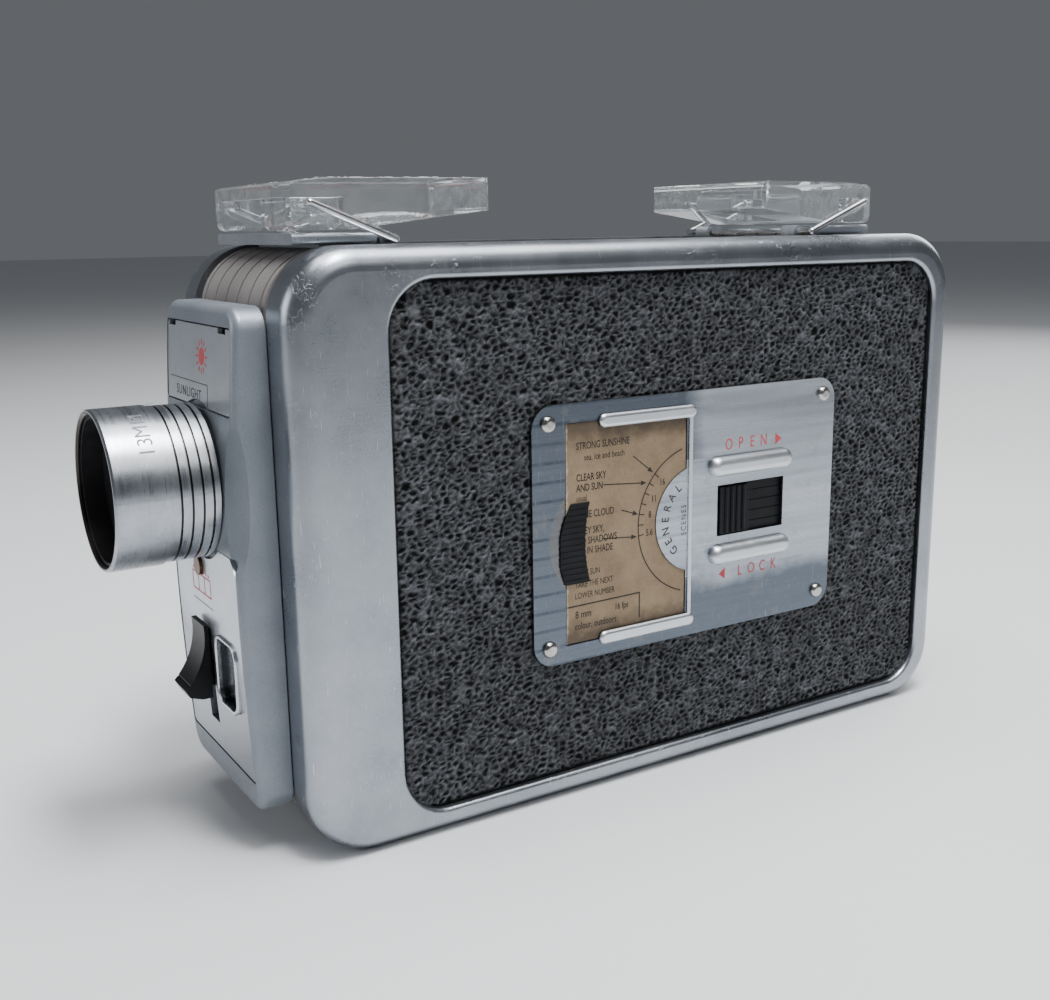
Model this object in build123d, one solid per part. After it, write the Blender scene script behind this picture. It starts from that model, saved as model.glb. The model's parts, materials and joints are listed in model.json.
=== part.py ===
from build123d import *
import os
from math import acos, atan2, cos, degrees, hypot, pi, radians, sin, sqrt

os.makedirs("parts", exist_ok=True)

# Frame: origin on the tripod socket's mouth, +Z up, -Y towards the lens, +X towards the film door.
# All sizes in millimetres.

# ---- driving dimensions of the body --------------------------------------------------------------
BODY_LENGTH = 159.0
BODY_HEIGHT = 108.3
BODY_HALF_WIDTH = 29.5
CORNER_R = 12.5
CASE_INNER_X = 19.5
CASE_WALL = 1.6
CASE_EDGE_R = 4.2
LEATHER_X = 28.3
LEATHER_THICK = 0.8
LEATHER_Y = (-61.5, 73.1)
LEATHER_Z = (4.9, 102.4)
LEATHER_R = 9.0
BAND_HALF_WIDTH = 17.0
BAND_INSET = 0.5
LIP_INSET = 1.9
BAND_INNER_INSET = 3.4
LIP_HALF_WIDTH = 22.0
GROOVE_PITCH = 6.0
GROOVE_WIDTH = 0.7
GROOVE_DEPTH = 0.6
FRONT_Y = -BODY_LENGTH / 2
SIDE_SCREWS = [(-73.0, 28.0), (-73.0, 86.0)]
MID_Z = BODY_HEIGHT / 2

# ---- front housing and lens ----------------------------------------------------------------------
HOUSING_HALF_WIDTH = 19.6
HOUSING_Z = (7.8, 98.5)
HOUSING_FRONT_Y = -87.2
HOUSING_WALL = 2.6
CROWN_R = 520.0
CROWN_Z = 50.0
PLATE_HALF_WIDTH = 17.9
PLATE_THICK = 0.8
PLATE_GAP = 0.3
LENS_Z = 66.9
BARREL_R = 14.35
BARREL_FRONT_Y = -105.3
RING_FRONT_Y = -95.8
RING_REAR_Y = -87.3
RING_R = 14.05
SLEEVE_R = 11.0
RUN_FIT = 0.06

# ---- release lever -------------------------------------------------------------------------------
LEVER_X = (-6.0, 1.5)
LEVER_Z = (25.4, 39.6)

# ---- info plate on the film door -----------------------------------------------------------------
INFO_Y = (-33.6, 43.5)
INFO_Z = (28.0, 78.7)
INFO_THICK = 0.8
INFO_TOP_X = LEATHER_X + INFO_THICK
CARD_Y = (-26.2, 3.0)
CARD_Z = (31.4, 75.0)
GUIDE_CENTRE = (6.4, 52.6)
GUIDE_R = 11.05
WINDOW_Y = (11.2, 29.3)
WINDOW_Z = (47.9, 58.6)

# ---- folding finders -----------------------------------------------------------------------------
FINDER_HALF_WIDTH = 19.5
FINDER_BASE_TOP = 110.35
PIVOT_Z = 115.3
FRONT_FINDER_Y = -74.0
FRONT_FINDER_LENGTH = 38.5
REAR_FINDER_Y = 62.0
REAR_FINDER_LENGTH = 31.0
PIVOT_SETBACK = 3.0
WIRE_R = 0.7

# ---- clockwork and film transport ----------------------------------------------------------------
DECK_X = (-7.5, -6.0)
BRIDGE_X = (-25.9, -24.7)
BARREL_CENTRE = (4.0, 54.0)
CRANK_CENTRE = (-68.0, 47.0)
MAIN_TEETH, MAIN_MODULE = 84, 0.7
FIRST_TEETH, FIRST_MODULE = 60, 0.6
SECOND_TEETH, SECOND_MODULE = 60, 0.5
PINION_TEETH = 12
MESH_CLEARANCE = 0.06
PIVOT_PIN_R = 1.0
SUPPLY_CENTRE = (32.0, 76.0)
TAKE_UP_CENTRE = (-20.0, 36.0)
SPOOL_R = 25.8
SPOOL_X = (-5.0, 12.8)
FOOTAGE_CENTRE = (62.0, 50.0)
GATE_Y = -62.0


# ---- helpers -------------------------------------------------------------------------------------
def block(x, y, z):
    size = (x[1] - x[0], y[1] - y[0], z[1] - z[0])
    centre = ((x[0] + x[1]) / 2, (y[0] + y[1]) / 2, (z[0] + z[1]) / 2)
    return Pos(*centre) * Box(*size)


def rod_x(radius, x, y, z):
    return Pos((x[0] + x[1]) / 2, y, z) * Rot(0, 90, 0) * Cylinder(radius, abs(x[1] - x[0]))


def rod_y(radius, y, x, z):
    return Pos(x, (y[0] + y[1]) / 2, z) * Rot(90, 0, 0) * Cylinder(radius, abs(y[1] - y[0]))


def rod_z(radius, z, x, y):
    return Pos(x, y, (z[0] + z[1]) / 2) * Cylinder(radius, abs(z[1] - z[0]))


def slab_x(x, y, z, corner):
    """Rounded rectangle in the side view, standing between two X planes."""
    centre = Plane(origin=(x[0], (y[0] + y[1]) / 2, (z[0] + z[1]) / 2), x_dir=(0, 1, 0), z_dir=(1, 0, 0))
    return extrude(centre * RectangleRounded(y[1] - y[0], z[1] - z[0], corner), x[1] - x[0])


def slab_y(y, x, z, corner):
    """Rounded rectangle in the front view, standing between two Y planes."""
    centre = Plane(origin=((x[0] + x[1]) / 2, y[1], (z[0] + z[1]) / 2), x_dir=(1, 0, 0), z_dir=(0, -1, 0))
    return extrude(centre * RectangleRounded(x[1] - x[0], z[1] - z[0], corner), y[1] - y[0])


def body_slab(x, inset):
    """Slice of the camera body's side-view outline, drawn in by inset all round."""
    half = BODY_LENGTH / 2 - inset
    return slab_x(x, (-half, half), (inset, BODY_HEIGHT - inset), CORNER_R - inset)


def side_profile(points, x):
    """Straight-sided outline of (Y, Z) points, extruded between two X planes."""
    outline = make_face(Polyline(*[(x[0], y, z) for y, z in points], close=True))
    return extrude(outline, x[1] - x[0], dir=(1, 0, 0))


def towards(start, angle, distance):
    return (start[0] + distance * cos(angle), start[1] + distance * sin(angle))


def flip_x(shape):
    return mirror(shape, about=Plane.YZ)


parts = {}


# ---- body band -----------------------------------------------------------------------------------
def make_body_band():
    lip = body_slab((-LIP_HALF_WIDTH, LIP_HALF_WIDTH), LIP_INSET)
    centre = body_slab((-BAND_HALF_WIDTH, BAND_HALF_WIDTH), BAND_INSET)
    band = centre + lip - body_slab((-LIP_HALF_WIDTH, LIP_HALF_WIDTH), BAND_INNER_INSET)
    for step in (-2.5, -1.5, -0.5, 0.5, 1.5, 2.5):
        x = step * GROOVE_PITCH
        edges = (x - GROOVE_WIDTH / 2, x + GROOVE_WIDTH / 2)
        band -= body_slab(edges, BAND_INSET) - body_slab(edges, BAND_INSET + GROOVE_DEPTH)
    band -= rod_y(SLEEVE_R, (FRONT_Y - 1, FRONT_Y + 5), 0, LENS_Z)
    band -= block((-10, 2.5), (FRONT_Y - 1, FRONT_Y + 5), (18, 42))
    band -= rod_z(6.05, (0, 5), 0, 0)
    for y, z in SIDE_SCREWS:
        band += block((-LIP_HALF_WIDTH, -18), (FRONT_Y + BAND_INNER_INSET - 0.5, y + 2.2), (z - 3, z + 3))
        band -= rod_x(1.2, (-23, -17), y, z)
    return band


parts["body_band"] = make_body_band()


# ---- side cases and their leather panels ---------------------------------------------------------
def make_case():
    outer = body_slab((CASE_INNER_X, BODY_HALF_WIDTH), 0)
    face = outer.faces().sort_by(Axis.X)[-1]
    outer = fillet(face.edges(), CASE_EDGE_R)
    cavity = body_slab((CASE_INNER_X - 1, LEATHER_X - LEATHER_THICK - 1.3), CASE_WALL)
    pocket = slab_x((LEATHER_X - LEATHER_THICK, BODY_HALF_WIDTH + 1), LEATHER_Y, LEATHER_Z, LEATHER_R)
    case = outer - cavity - pocket
    rim = case.edges().filter_by_position(Axis.X, BODY_HALF_WIDTH - 0.01, BODY_HALF_WIDTH + 0.01)
    inner_rim = [e for e in rim if abs(e.center().Y - 5.8) < 68 and abs(e.center().Z - MID_Z) < 49.5]
    return fillet(inner_rim, 0.85)


def make_leather():
    clear = 0.05
    y = (LEATHER_Y[0] + clear, LEATHER_Y[1] - clear)
    z = (LEATHER_Z[0] + clear, LEATHER_Z[1] - clear)
    return slab_x((LEATHER_X - LEATHER_THICK, LEATHER_X), y, z, LEATHER_R - clear)


LATCH_POCKET_X = LEATHER_X - 1.6
latch_pocket = block((LATCH_POCKET_X, LEATHER_X + 0.01), (0.0, 40.5), (46.2, 60.3))
latch_slot = block((24.0, 28.0), (26.0, 39.6), (51.0, 55.5))

parts["film_cover"] = make_case() - latch_pocket - latch_slot
parts["cover_leather"] = make_leather() - latch_pocket

escutcheon_hole = rod_x(4.6, (-30, -20), *BARREL_CENTRE)
counter_hole = rod_x(6.0, (-30, -20), *FOOTAGE_CENTRE)
counter_seat = rod_x(7.0, (-30, -27.5), *FOOTAGE_CENTRE)
case_shape = flip_x(make_case()) - escutcheon_hole - counter_hole
for y, z in SIDE_SCREWS:
    case_shape -= rod_x(2.2, (-30, -28.3), y, z)
    case_shape -= rod_x(1.25, (-30, -20), y, z)
parts["winding_side_case"] = case_shape
parts["winding_side_leather"] = flip_x(make_leather()) - escutcheon_hole - counter_seat


def make_side_screws():
    screws = Part()
    for y, z in SIDE_SCREWS:
        head = rod_x(2.15, (-29.5, -28.35), y, z)
        slot = block((-30, -29.1), (y - 3, y + 3), (z - 0.3, z + 0.3))
        screws += head + rod_x(1.2, (-28.4, -22.5), y, z) - slot
    return screws


parts["side_case_screws"] = make_side_screws()


# ---- front housing -------------------------------------------------------------------------------
def crown(offset, x=(-30, 30)):
    """Large drum whose surface is the housing's crowned face, moved back by offset."""
    return rod_x(CROWN_R - offset, x, HOUSING_FRONT_Y + CROWN_R, CROWN_Z)


def edge_y(z):
    """Front face position at height z."""
    return HOUSING_FRONT_Y + CROWN_R - sqrt(CROWN_R**2 - (z - CROWN_Z)**2)


UPPER_PLATE_Z = (80.4, 94.8)
LOWER_PLATE_Z = (14.0, 55.3)
LOWER_CHAMFER = 4.0
PLATE_EDGE = PLATE_HALF_WIDTH + PLATE_GAP
THUMB_RECESS_X = (3.6, 15.2)
THUMB_RECESS_Z = (25.5, 39.0)
SLOT_X = (-4.9, -0.1)
SLOT_Z = (19.4, 38.6)
FRONT_SCREW = (-2.6, 50.2)


def lens_scallop(side):
    """Tilted elliptical scoop that fairs the barrel into the housing's side edge."""
    depth, reach = 3.0, 5.4
    start = (side * BARREL_R, HOUSING_FRONT_Y - depth, LENS_Z)
    run = Vector(side * reach, depth, 0).normalized()
    tilt = Plane(origin=start, x_dir=(0, 0, 1), z_dir=run)
    return extrude(tilt * Ellipse(14.2, depth * 0.88), 12)


def make_front_housing():
    inside = (-HOUSING_HALF_WIDTH, HOUSING_HALF_WIDTH)
    solid = slab_y((FRONT_Y - 12, FRONT_Y - 0.15), inside, HOUSING_Z, 4.5)
    solid = solid & crown(0)
    front = [e for e in solid.edges() if e.center().Y < FRONT_Y - 4 and e.length > 2]
    solid = fillet(front, 1.6)
    solid += slab_y((FRONT_Y - 1, FRONT_Y + BAND_INSET), (-16.8, 16.8), (14.0, 94.0), 2.0)
    hollow_x = (-HOUSING_HALF_WIDTH + 2.0, HOUSING_HALF_WIDTH - 2.0)
    hollow_z = (HOUSING_Z[0] + 2.2, HOUSING_Z[1] - 2.2)
    hollow = slab_y((HOUSING_FRONT_Y + HOUSING_WALL, FRONT_Y + 1), hollow_x, hollow_z, 2.5)
    solid -= hollow
    for zone in (UPPER_PLATE_Z, LOWER_PLATE_Z):
        z = (zone[0] - PLATE_GAP, zone[1] + PLATE_GAP)
        recess = slab_y((FRONT_Y - 12, FRONT_Y - 4), (-PLATE_EDGE, PLATE_EDGE), z, 1.0)
        solid -= recess - crown(PLATE_THICK + 0.1)
    for side in (-1, 1):
        solid -= lens_scallop(side)
    solid -= rod_y(SLEEVE_R + 1.3, (-95, FRONT_Y), 0, LENS_Z)
    solid -= block(SLOT_X, (-95, -83), SLOT_Z)
    solid -= rod_y(1.05, (-95, -83), *FRONT_SCREW)
    thumb = slab_y((-95, -85.2), THUMB_RECESS_X, THUMB_RECESS_Z, 3.0)
    return solid - thumb


def front_plate(zone):
    sheet = slab_y((FRONT_Y - 12, FRONT_Y - 4), (-PLATE_HALF_WIDTH, PLATE_HALF_WIDTH), zone, 0.8)
    return (sheet & crown(0.15)) - crown(PLATE_THICK + 0.1)


def make_lower_plate():
    plate = front_plate(LOWER_PLATE_Z)
    top = LOWER_PLATE_Z[1]
    for side in (-1, 1):
        corner = Pos(side * PLATE_HALF_WIDTH, -87, top) * Rot(0, 45, 0) * Box(LOWER_CHAMFER, 8, LOWER_CHAMFER)
        plate -= corner
    plate -= block(SLOT_X, (-95, -80), SLOT_Z)
    plate -= slab_y((-95, -80), THUMB_RECESS_X, THUMB_RECESS_Z, 3.0)
    plate -= rod_y(1.95, (-95, -80), *FRONT_SCREW)
    plate -= rod_y(BARREL_R + 0.3, (-95, -80), 0, LENS_Z)
    return plate


def make_upper_plate():
    plate = front_plate(UPPER_PLATE_Z)
    plate -= rod_y(BARREL_R + 0.3, (-95, -80), 0, LENS_Z)
    for x in (-15.2, 13.4):
        plate -= block((x - 2.0, x + 2.0), (-95, -80), (UPPER_PLATE_Z[1] - 0.9, UPPER_PLATE_Z[1] + 1))
    return plate


def make_thumb_bezel():
    grow = -0.02
    x = (THUMB_RECESS_X[0] - grow, THUMB_RECESS_X[1] + grow)
    z = (THUMB_RECESS_Z[0] - grow, THUMB_RECESS_Z[1] + grow)
    ring = slab_y((-87.4, -85.2), x, z, 2.98)
    ring -= slab_y((-95, -80), (x[0] + 0.8, x[1] - 0.8), (z[0] + 0.8, z[1] - 0.8), 2.2)
    floor = slab_y((-85.7, -85.2), x, z, 2.98)
    front = ring.edges().filter_by_position(Axis.Y, -87.41, -87.39)
    return fillet(front, 0.3) + floor


parts["front_housing"] = make_front_housing()
parts["upper_front_plate"] = make_upper_plate()
parts["lower_front_plate"] = make_lower_plate()
parts["thumb_bezel"] = make_thumb_bezel()

screw_y = edge_y(FRONT_SCREW[1])
front_screw = rod_y(1.85, (screw_y - 0.5, screw_y + 0.85), *FRONT_SCREW)
front_screw += rod_y(1.0, (screw_y + 0.8, screw_y + 2.4), *FRONT_SCREW)
parts["front_plate_screw"] = front_screw


# ---- lens ----------------------------------------------------------------------------------------
def turned(points):
    """Turned part about the lens axis, from (radius, Y) points."""
    outline = make_face(Polyline(*[(r, y, LENS_Z) for r, y in points], close=True))
    return revolve(outline, Axis((0, 0, LENS_Z), (0, 1, 0)), 360)


BARREL_END_Y = -76.0
parts["lens_barrel"] = turned([
    (13.7, BARREL_FRONT_Y), (14.1, BARREL_FRONT_Y), (BARREL_R, BARREL_FRONT_Y + 0.4),
    (BARREL_R, RING_FRONT_Y), (SLEEVE_R, RING_FRONT_Y), (SLEEVE_R, BARREL_END_Y),
    (8.6, BARREL_END_Y), (8.6, -97.0), (13.4, -99.8), (13.4, BARREL_FRONT_Y + 0.4)])

parts["lens_liner"] = turned([
    (13.38, BARREL_FRONT_Y + 0.8), (13.38, -99.95), (9.0, -97.35), (7.4, -97.35), (12.7, -100.7),
    (12.7, BARREL_FRONT_Y + 0.8)])

RING_GROOVES = (-94.1, -92.2, -90.3, -88.5)


def make_aperture_ring():
    inner = SLEEVE_R + RUN_FIT
    ring = turned([
        (inner, RING_FRONT_Y + 0.1), (RING_R, RING_FRONT_Y + 0.1), (RING_R, RING_REAR_Y),
        (12.2, RING_REAR_Y), (12.2, -84.5), (17.3, -84.5), (17.3, -83.7), (inner, -83.7)])
    for y in RING_GROOVES:
        ring -= turned([
            (RING_R - 0.4, y - 0.2), (RING_R + 1, y - 0.2), (RING_R + 1, y + 0.2), (RING_R - 0.4, y + 0.2)])
    return ring


parts["aperture_ring"] = make_aperture_ring()


def lens_element(y, radius, front_r, back_r, thick):
    """Round glass between two spherical faces."""
    blank = rod_y(radius, (y - thick, y + thick), 0, LENS_Z)
    front = Pos(0, y - thick / 2 + front_r, LENS_Z) * Sphere(front_r)
    back = Pos(0, y + thick / 2 - back_r, LENS_Z) * Sphere(back_r)
    return blank & front & back


parts["front_element"] = lens_element(-94.4, 8.55, 16.0, 60.0, 3.6)
parts["rear_element"] = lens_element(-79.5, 8.55, 60.0, 18.0, 3.4)
parts["lens_spacer"] = turned([(6.0, -91.8), (8.55, -91.8), (8.55, -82.6), (6.0, -82.6)])
parts["lens_retaining_ring"] = turned([(6.4, -77.6), (8.58, -77.6), (8.58, -76.2), (6.4, -76.2)])


# ---- release lever -------------------------------------------------------------------------------
def make_release_lever():
    top, bottom = LEVER_Z[1], LEVER_Z[0]
    back = -87.55
    tip = (-92.6, 27.6)
    profile = Polyline((back, top), (-88.5, top))
    hollow = ThreePointArc((-88.5, top), (-89.35, 32.6), tip)
    under = Polyline(tip, (-91.9, 26.2), (-89.5, bottom), (back, bottom), (back, top))
    outline = make_face(Curve() + [profile, hollow, under])
    plane = Plane(origin=(LEVER_X[0], 0, 0), x_dir=(0, 1, 0), z_dir=(1, 0, 0))
    lever = extrude(plane * outline, LEVER_X[1] - LEVER_X[0])
    ridge_count = 12
    for i in range(ridge_count):
        z = 28.6 + i * (top - 29.6) / (ridge_count - 1)
        t = (z - tip[1]) / (top - tip[1])
        y = tip[0] + (t**0.75) * (-88.5 - tip[0])
        lever -= Pos(0, y - 0.05, z) * Rot(0, 90, 0) * Cylinder(0.36, 30)
    stem = block((-4.3, -0.7), (back - 0.5, -82.2), (27.0, 37.0))
    foot = block((-8.0, 3.0), (-83.1, -81.9), (26.0, 38.0))
    return lever + stem + foot


parts["release_lever"] = make_release_lever()


# ---- info plate, exposure card and door latch ----------------------------------------------------
def bead(y, z, half_height, rise):
    """Long raised bead along Y with round ends, standing on the info plate."""
    foot = INFO_TOP_X - 0.2
    blank = slab_x((foot, INFO_TOP_X + rise), y, (z - half_height, z + half_height), half_height - 0.01)
    return fillet(blank.faces().sort_by(Axis.X)[-1].edges(), rise * 0.85)


def make_info_plate():
    plate = slab_x((LEATHER_X, INFO_TOP_X), INFO_Y, INFO_Z, 4.6)
    floor_x = LEATHER_X + 0.3
    well = block((floor_x, INFO_TOP_X + 1), CARD_Y, CARD_Z)
    tongue = rod_x(GUIDE_R, (floor_x, INFO_TOP_X + 2), *GUIDE_CENTRE)
    plate -= well - tongue
    thumb_edge = rod_x(13.0, (floor_x + 0.15, INFO_TOP_X + 1), -16.9, 52.0)
    plate -= thumb_edge & block((0, 40), (-30.8, CARD_Y[0] + 0.1), (42.0, 63.5))
    plate -= block((LEATHER_X - 1, INFO_TOP_X + 1), WINDOW_Y, WINDOW_Z)
    for z in (CARD_Z[1] - 0.2, CARD_Z[0] + 0.2):
        plate += bead((-18.6, 5.0), z, 1.35, 0.9)
    plate += rod_z(0.5, (CARD_Z[0], CARD_Z[1]), INFO_TOP_X, 3.9)
    plate += bead((8.8, 30.8), 62.6, 2.1, 1.9)
    plate += bead((9.2, 30.7), 44.0, 2.1, 1.9)
    return plate


def make_plate_rivets():
    rivets = Part()
    inset = 3.5
    for y in (INFO_Y[0] + inset, INFO_Y[1] - inset):
        for z in (INFO_Z[0] + inset, INFO_Z[1] - inset):
            head = rod_x(1.6, (INFO_TOP_X, INFO_TOP_X + 1.0), y, z)
            rivets += fillet(head.edges().sort_by(Axis.X)[-1], 0.9)
    return rivets


def make_guide_card():
    x = (LEATHER_X + 0.3, LEATHER_X + 0.55)
    card = block(x, (CARD_Y[0] + 0.3, CARD_Y[1] - 0.1), (CARD_Z[0] + 0.2, CARD_Z[1] - 0.2))
    return card - rod_x(GUIDE_R + 0.05, (20, 40), *GUIDE_CENTRE)


def make_card_grip():
    """Ribbed crescent at the card's outer edge, for pulling the card out."""
    x = (LEATHER_X + 0.55, LEATHER_X + 0.85)
    disc = rod_x(17.0, x, -10.6, 50.2)
    bite = rod_x(30.0, (x[0] - 1, x[1] + 1), 8.3, 51.6)
    crescent = (disc - bite) & block((0, 40), (-27.4, -15), (43.6, 59.4))
    for i in range(13):
        z = 44.6 + i * 1.15
        crescent -= block((x[1] - 0.12, x[1] + 1), (-30, -10), (z - 0.2, z + 0.2))
    return crescent


parts["info_plate"] = make_info_plate()
parts["plate_rivets"] = make_plate_rivets()
parts["guide_card"] = make_guide_card()
parts["card_grip"] = make_card_grip()


def make_latch_slide():
    base = block((LATCH_POCKET_X + 0.1, LEATHER_X - 0.15), (0.6, 31.0), (46.6, 59.9))
    pad = block((LEATHER_X - 0.2, LEATHER_X + 1.1), (11.7, 19.6), (48.3, 58.2))
    slide = base + pad
    for i in range(4):
        y = 13.3 + i * 1.55
        slide += Pos(LEATHER_X + 1.1, y, 53.25) * Cylinder(0.42, 9.6)
    for i in range(4):
        z = 49.9 + i * 2.2
        slide -= block((LEATHER_X - 0.35, LEATHER_X), (20.2, 30.5), (z - 0.12, z + 0.12))
    return slide


latch_bolt = block((22.4, LATCH_POCKET_X + 0.1), (26.6, 30.0), (51.4, 55.1))
latch_bolt += block((22.4, 23.6), (10.0, 30.0), (51.4, 55.1))
parts["latch_slide"] = make_latch_slide()
parts["latch_bolt"] = latch_bolt


# ---- folding finders -----------------------------------------------------------------------------
def finder_frame(hinge_y, length):
    """Clear finder, lying folded; its hinge end is at hinge_y and it points towards +Y."""
    top, under = 119.4, 110.85
    tail = hinge_y + length
    neck = hinge_y + 9.5
    outline = [
        (hinge_y, 116.2), (hinge_y, 118.4), (hinge_y + 1.2, 118.9), (hinge_y + 7, top),
        (tail - 0.6, top + 0.2), (tail, top - 0.4), (tail, 114.4), (tail - 0.5, 113.9),
        (neck + 0.8, under), (neck, under + 0.8), (neck, 116.2)]
    wedge = side_profile(outline, (-FINDER_HALF_WIDTH, FINDER_HALF_WIDTH))
    pivot_y = hinge_y + PIVOT_SETBACK
    for side in (-1, 1):
        outer, inner = side * FINDER_HALF_WIDTH, side * (FINDER_HALF_WIDTH - 3.0)
        span = (min(outer, inner), max(outer, inner))
        ear = block(span, (hinge_y, hinge_y + 8.6), (under, 116.4))
        corner = [e for e in ear.edges().filter_by(Axis.X) if e.center().Z < 112]
        ear = fillet(corner, 1.5)
        wedge += ear
        wedge += rod_x(2.2, (inner - side * 0.8, inner), pivot_y, PIVOT_Z)
    side_edges = wedge.edges().filter_by(Axis.Z).group_by(Axis.Y)[-1]
    wedge = fillet(side_edges, 1.5)
    wedge -= rod_x(WIRE_R + RUN_FIT, (-30, 30), pivot_y, PIVOT_Z)
    return wedge


def lens_dish(centre_y, depth, radius):
    """Shallow dish that makes the finder plate a negative lens."""
    ball = (radius**2 + depth**2) / (2 * depth)
    return Pos(0, centre_y, 113.0 - ball + depth) * Sphere(ball)


def finder_base(hinge_y, length):
    plate = slab_y((hinge_y, hinge_y + length), (-19.3, 19.3), (108.4, FINDER_BASE_TOP), 0.8)
    plate += block((-15, 15), (hinge_y + 6.5, hinge_y + length - 0.5), (107.0, 108.6))
    lug_y = hinge_y + length + 3.6
    for x in (-14.5, 14.5):
        lug = block((x - 2.2, x + 2.2), (hinge_y + length - 1, lug_y - 0.6), (109.4, 110.2))
        lug += rod_x(1.3, (x - 2.2, x + 2.2), lug_y - 0.6, 109.15)
        plate += lug - rod_x(WIRE_R + 0.02, (-30, 30), lug_y - 0.6, 109.15)
    return plate


def wire_spring(hinge_y, length):
    """Bent spring wire: pivot pins through the finder's ears, and a bar behind the base."""
    pivot = (hinge_y + PIVOT_SETBACK, PIVOT_Z)
    bar = (hinge_y + length + 3.0, 109.15)
    arm_x = FINDER_HALF_WIDTH + 0.35 + WIRE_R
    wire = rod_x(WIRE_R, (-arm_x, arm_x), *bar)
    rise = hypot(bar[0] - pivot[0], bar[1] - pivot[1])
    lean = degrees(atan2(pivot[0] - bar[0], pivot[1] - bar[1]))
    for side in (-1, 1):
        middle = ((pivot[0] + bar[0]) / 2, (pivot[1] + bar[1]) / 2)
        wire += Pos(side * arm_x, middle[0], middle[1]) * Rot(-lean, 0, 0) * Cylinder(WIRE_R, rise)
        wire += rod_x(WIRE_R, sorted((side * arm_x, side * 16.0)), *pivot)
        wire += Pos(side * arm_x, *pivot) * Sphere(WIRE_R)
        wire += Pos(side * arm_x, *bar) * Sphere(WIRE_R)
    return wire


BASE_LENGTH = 15.5


def mirror_finder(shape, hinge_y):
    """Turns a part modelled for a front-end hinge into one hinged at its rear end."""
    return mirror(Pos(0, -hinge_y, 0) * shape, about=Plane.XZ).moved(Location((0, hinge_y, 0)))


front_frame = finder_frame(FRONT_FINDER_Y, FRONT_FINDER_LENGTH)
front_frame -= lens_dish(FRONT_FINDER_Y + 24, 1.2, 11.0)
parts["front_finder"] = front_frame
body_block = body_slab((-30, 30), BAND_INSET)
parts["front_finder_base"] = finder_base(FRONT_FINDER_Y, BASE_LENGTH) - body_block
parts["front_finder_spring"] = wire_spring(FRONT_FINDER_Y, BASE_LENGTH)

rear_frame = finder_frame(REAR_FINDER_Y, REAR_FINDER_LENGTH)
rear_frame -= slab_x((-6, 6), (REAR_FINDER_Y + 14, REAR_FINDER_Y + 26), (100, 117.2), 1.0)
parts["rear_finder"] = mirror_finder(rear_frame, REAR_FINDER_Y)
parts["rear_finder_base"] = mirror_finder(finder_base(REAR_FINDER_Y, BASE_LENGTH), REAR_FINDER_Y) - body_block
parts["rear_finder_spring"] = mirror_finder(wire_spring(REAR_FINDER_Y, BASE_LENGTH), REAR_FINDER_Y)

bush = rod_z(6.0, (0, BAND_INNER_INSET + 0.1), 0, 0) + rod_z(8.0, (BAND_INNER_INSET, 8.4), 0, 0)
parts["tripod_bush"] = bush - rod_z(3.175, (-1, 7.2), 0, 0)


# ---- gears ---------------------------------------------------------------------------------------
def gear(teeth, module, x, centre, phase):
    """Spur gear with straight flanks and plenty of backlash; one tooth points along phase."""
    pitch_r = teeth * module / 2
    flank = [(pitch_r - 1.2 * module, 0.30), (pitch_r, 0.205), (pitch_r + 0.8 * module, 0.09)]
    outline = []
    for i in range(teeth):
        middle = phase + 2 * pi * i / teeth
        for r, share in flank + [(r, -share) for r, share in reversed(flank)]:
            angle = middle - share * 2 * pi / teeth
            outline.append((centre[0] + r * cos(angle), centre[1] + r * sin(angle)))
    return side_profile(outline, x)


def meshing_phase(direction, teeth, driver_teeth=1, driver_phase=None):
    """Phase of a driven gear whose tooth gap meets the driver's tooth along direction."""
    offset = 0.0
    if driver_phase is not None:
        pitch = 2 * pi / driver_teeth
        offset = (driver_phase - direction) % pitch
    return direction + pi + pi / teeth - offset * driver_teeth / teeth


def pitch_r(teeth, module):
    return teeth * module / 2


FIRST_DISTANCE = pitch_r(MAIN_TEETH + PINION_TEETH, MAIN_MODULE) + MESH_CLEARANCE
SECOND_DISTANCE = pitch_r(FIRST_TEETH + PINION_TEETH, FIRST_MODULE) + MESH_CLEARANCE
THIRD_DISTANCE = pitch_r(SECOND_TEETH + PINION_TEETH, SECOND_MODULE) + MESH_CLEARANCE
FIRST_ANGLE = radians(184)
FIRST_CENTRE = towards(BARREL_CENTRE, FIRST_ANGLE, FIRST_DISTANCE)
reach = hypot(CRANK_CENTRE[0] - FIRST_CENTRE[0], CRANK_CENTRE[1] - FIRST_CENTRE[1])
bend = acos((reach**2 + SECOND_DISTANCE**2 - THIRD_DISTANCE**2) / (2 * reach * SECOND_DISTANCE))
SECOND_ANGLE = atan2(CRANK_CENTRE[1] - FIRST_CENTRE[1], CRANK_CENTRE[0] - FIRST_CENTRE[0]) + bend
SECOND_CENTRE = towards(FIRST_CENTRE, SECOND_ANGLE, SECOND_DISTANCE)
THIRD_ANGLE = atan2(CRANK_CENTRE[1] - SECOND_CENTRE[1], CRANK_CENTRE[0] - SECOND_CENTRE[0])
GOVERNOR_ANGLE = radians(95)
GOVERNOR_CENTRE = towards(SECOND_CENTRE, GOVERNOR_ANGLE, THIRD_DISTANCE)

MAIN_GEAR_X = (-13.2, -11.2)
DRUM_X = (-24.0, -13.2)
ARBOR_R = 4.0


def make_spring_barrel():
    drum = rod_x(27.5, DRUM_X, *BARREL_CENTRE)
    drum -= rod_x(26.3, (DRUM_X[0] + 1.2, DRUM_X[1] - 0.8), *BARREL_CENTRE)
    drum += gear(MAIN_TEETH, MAIN_MODULE, MAIN_GEAR_X, BARREL_CENTRE, FIRST_ANGLE)
    return drum - rod_x(ARBOR_R + RUN_FIT, (-30, 0), *BARREL_CENTRE)


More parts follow.
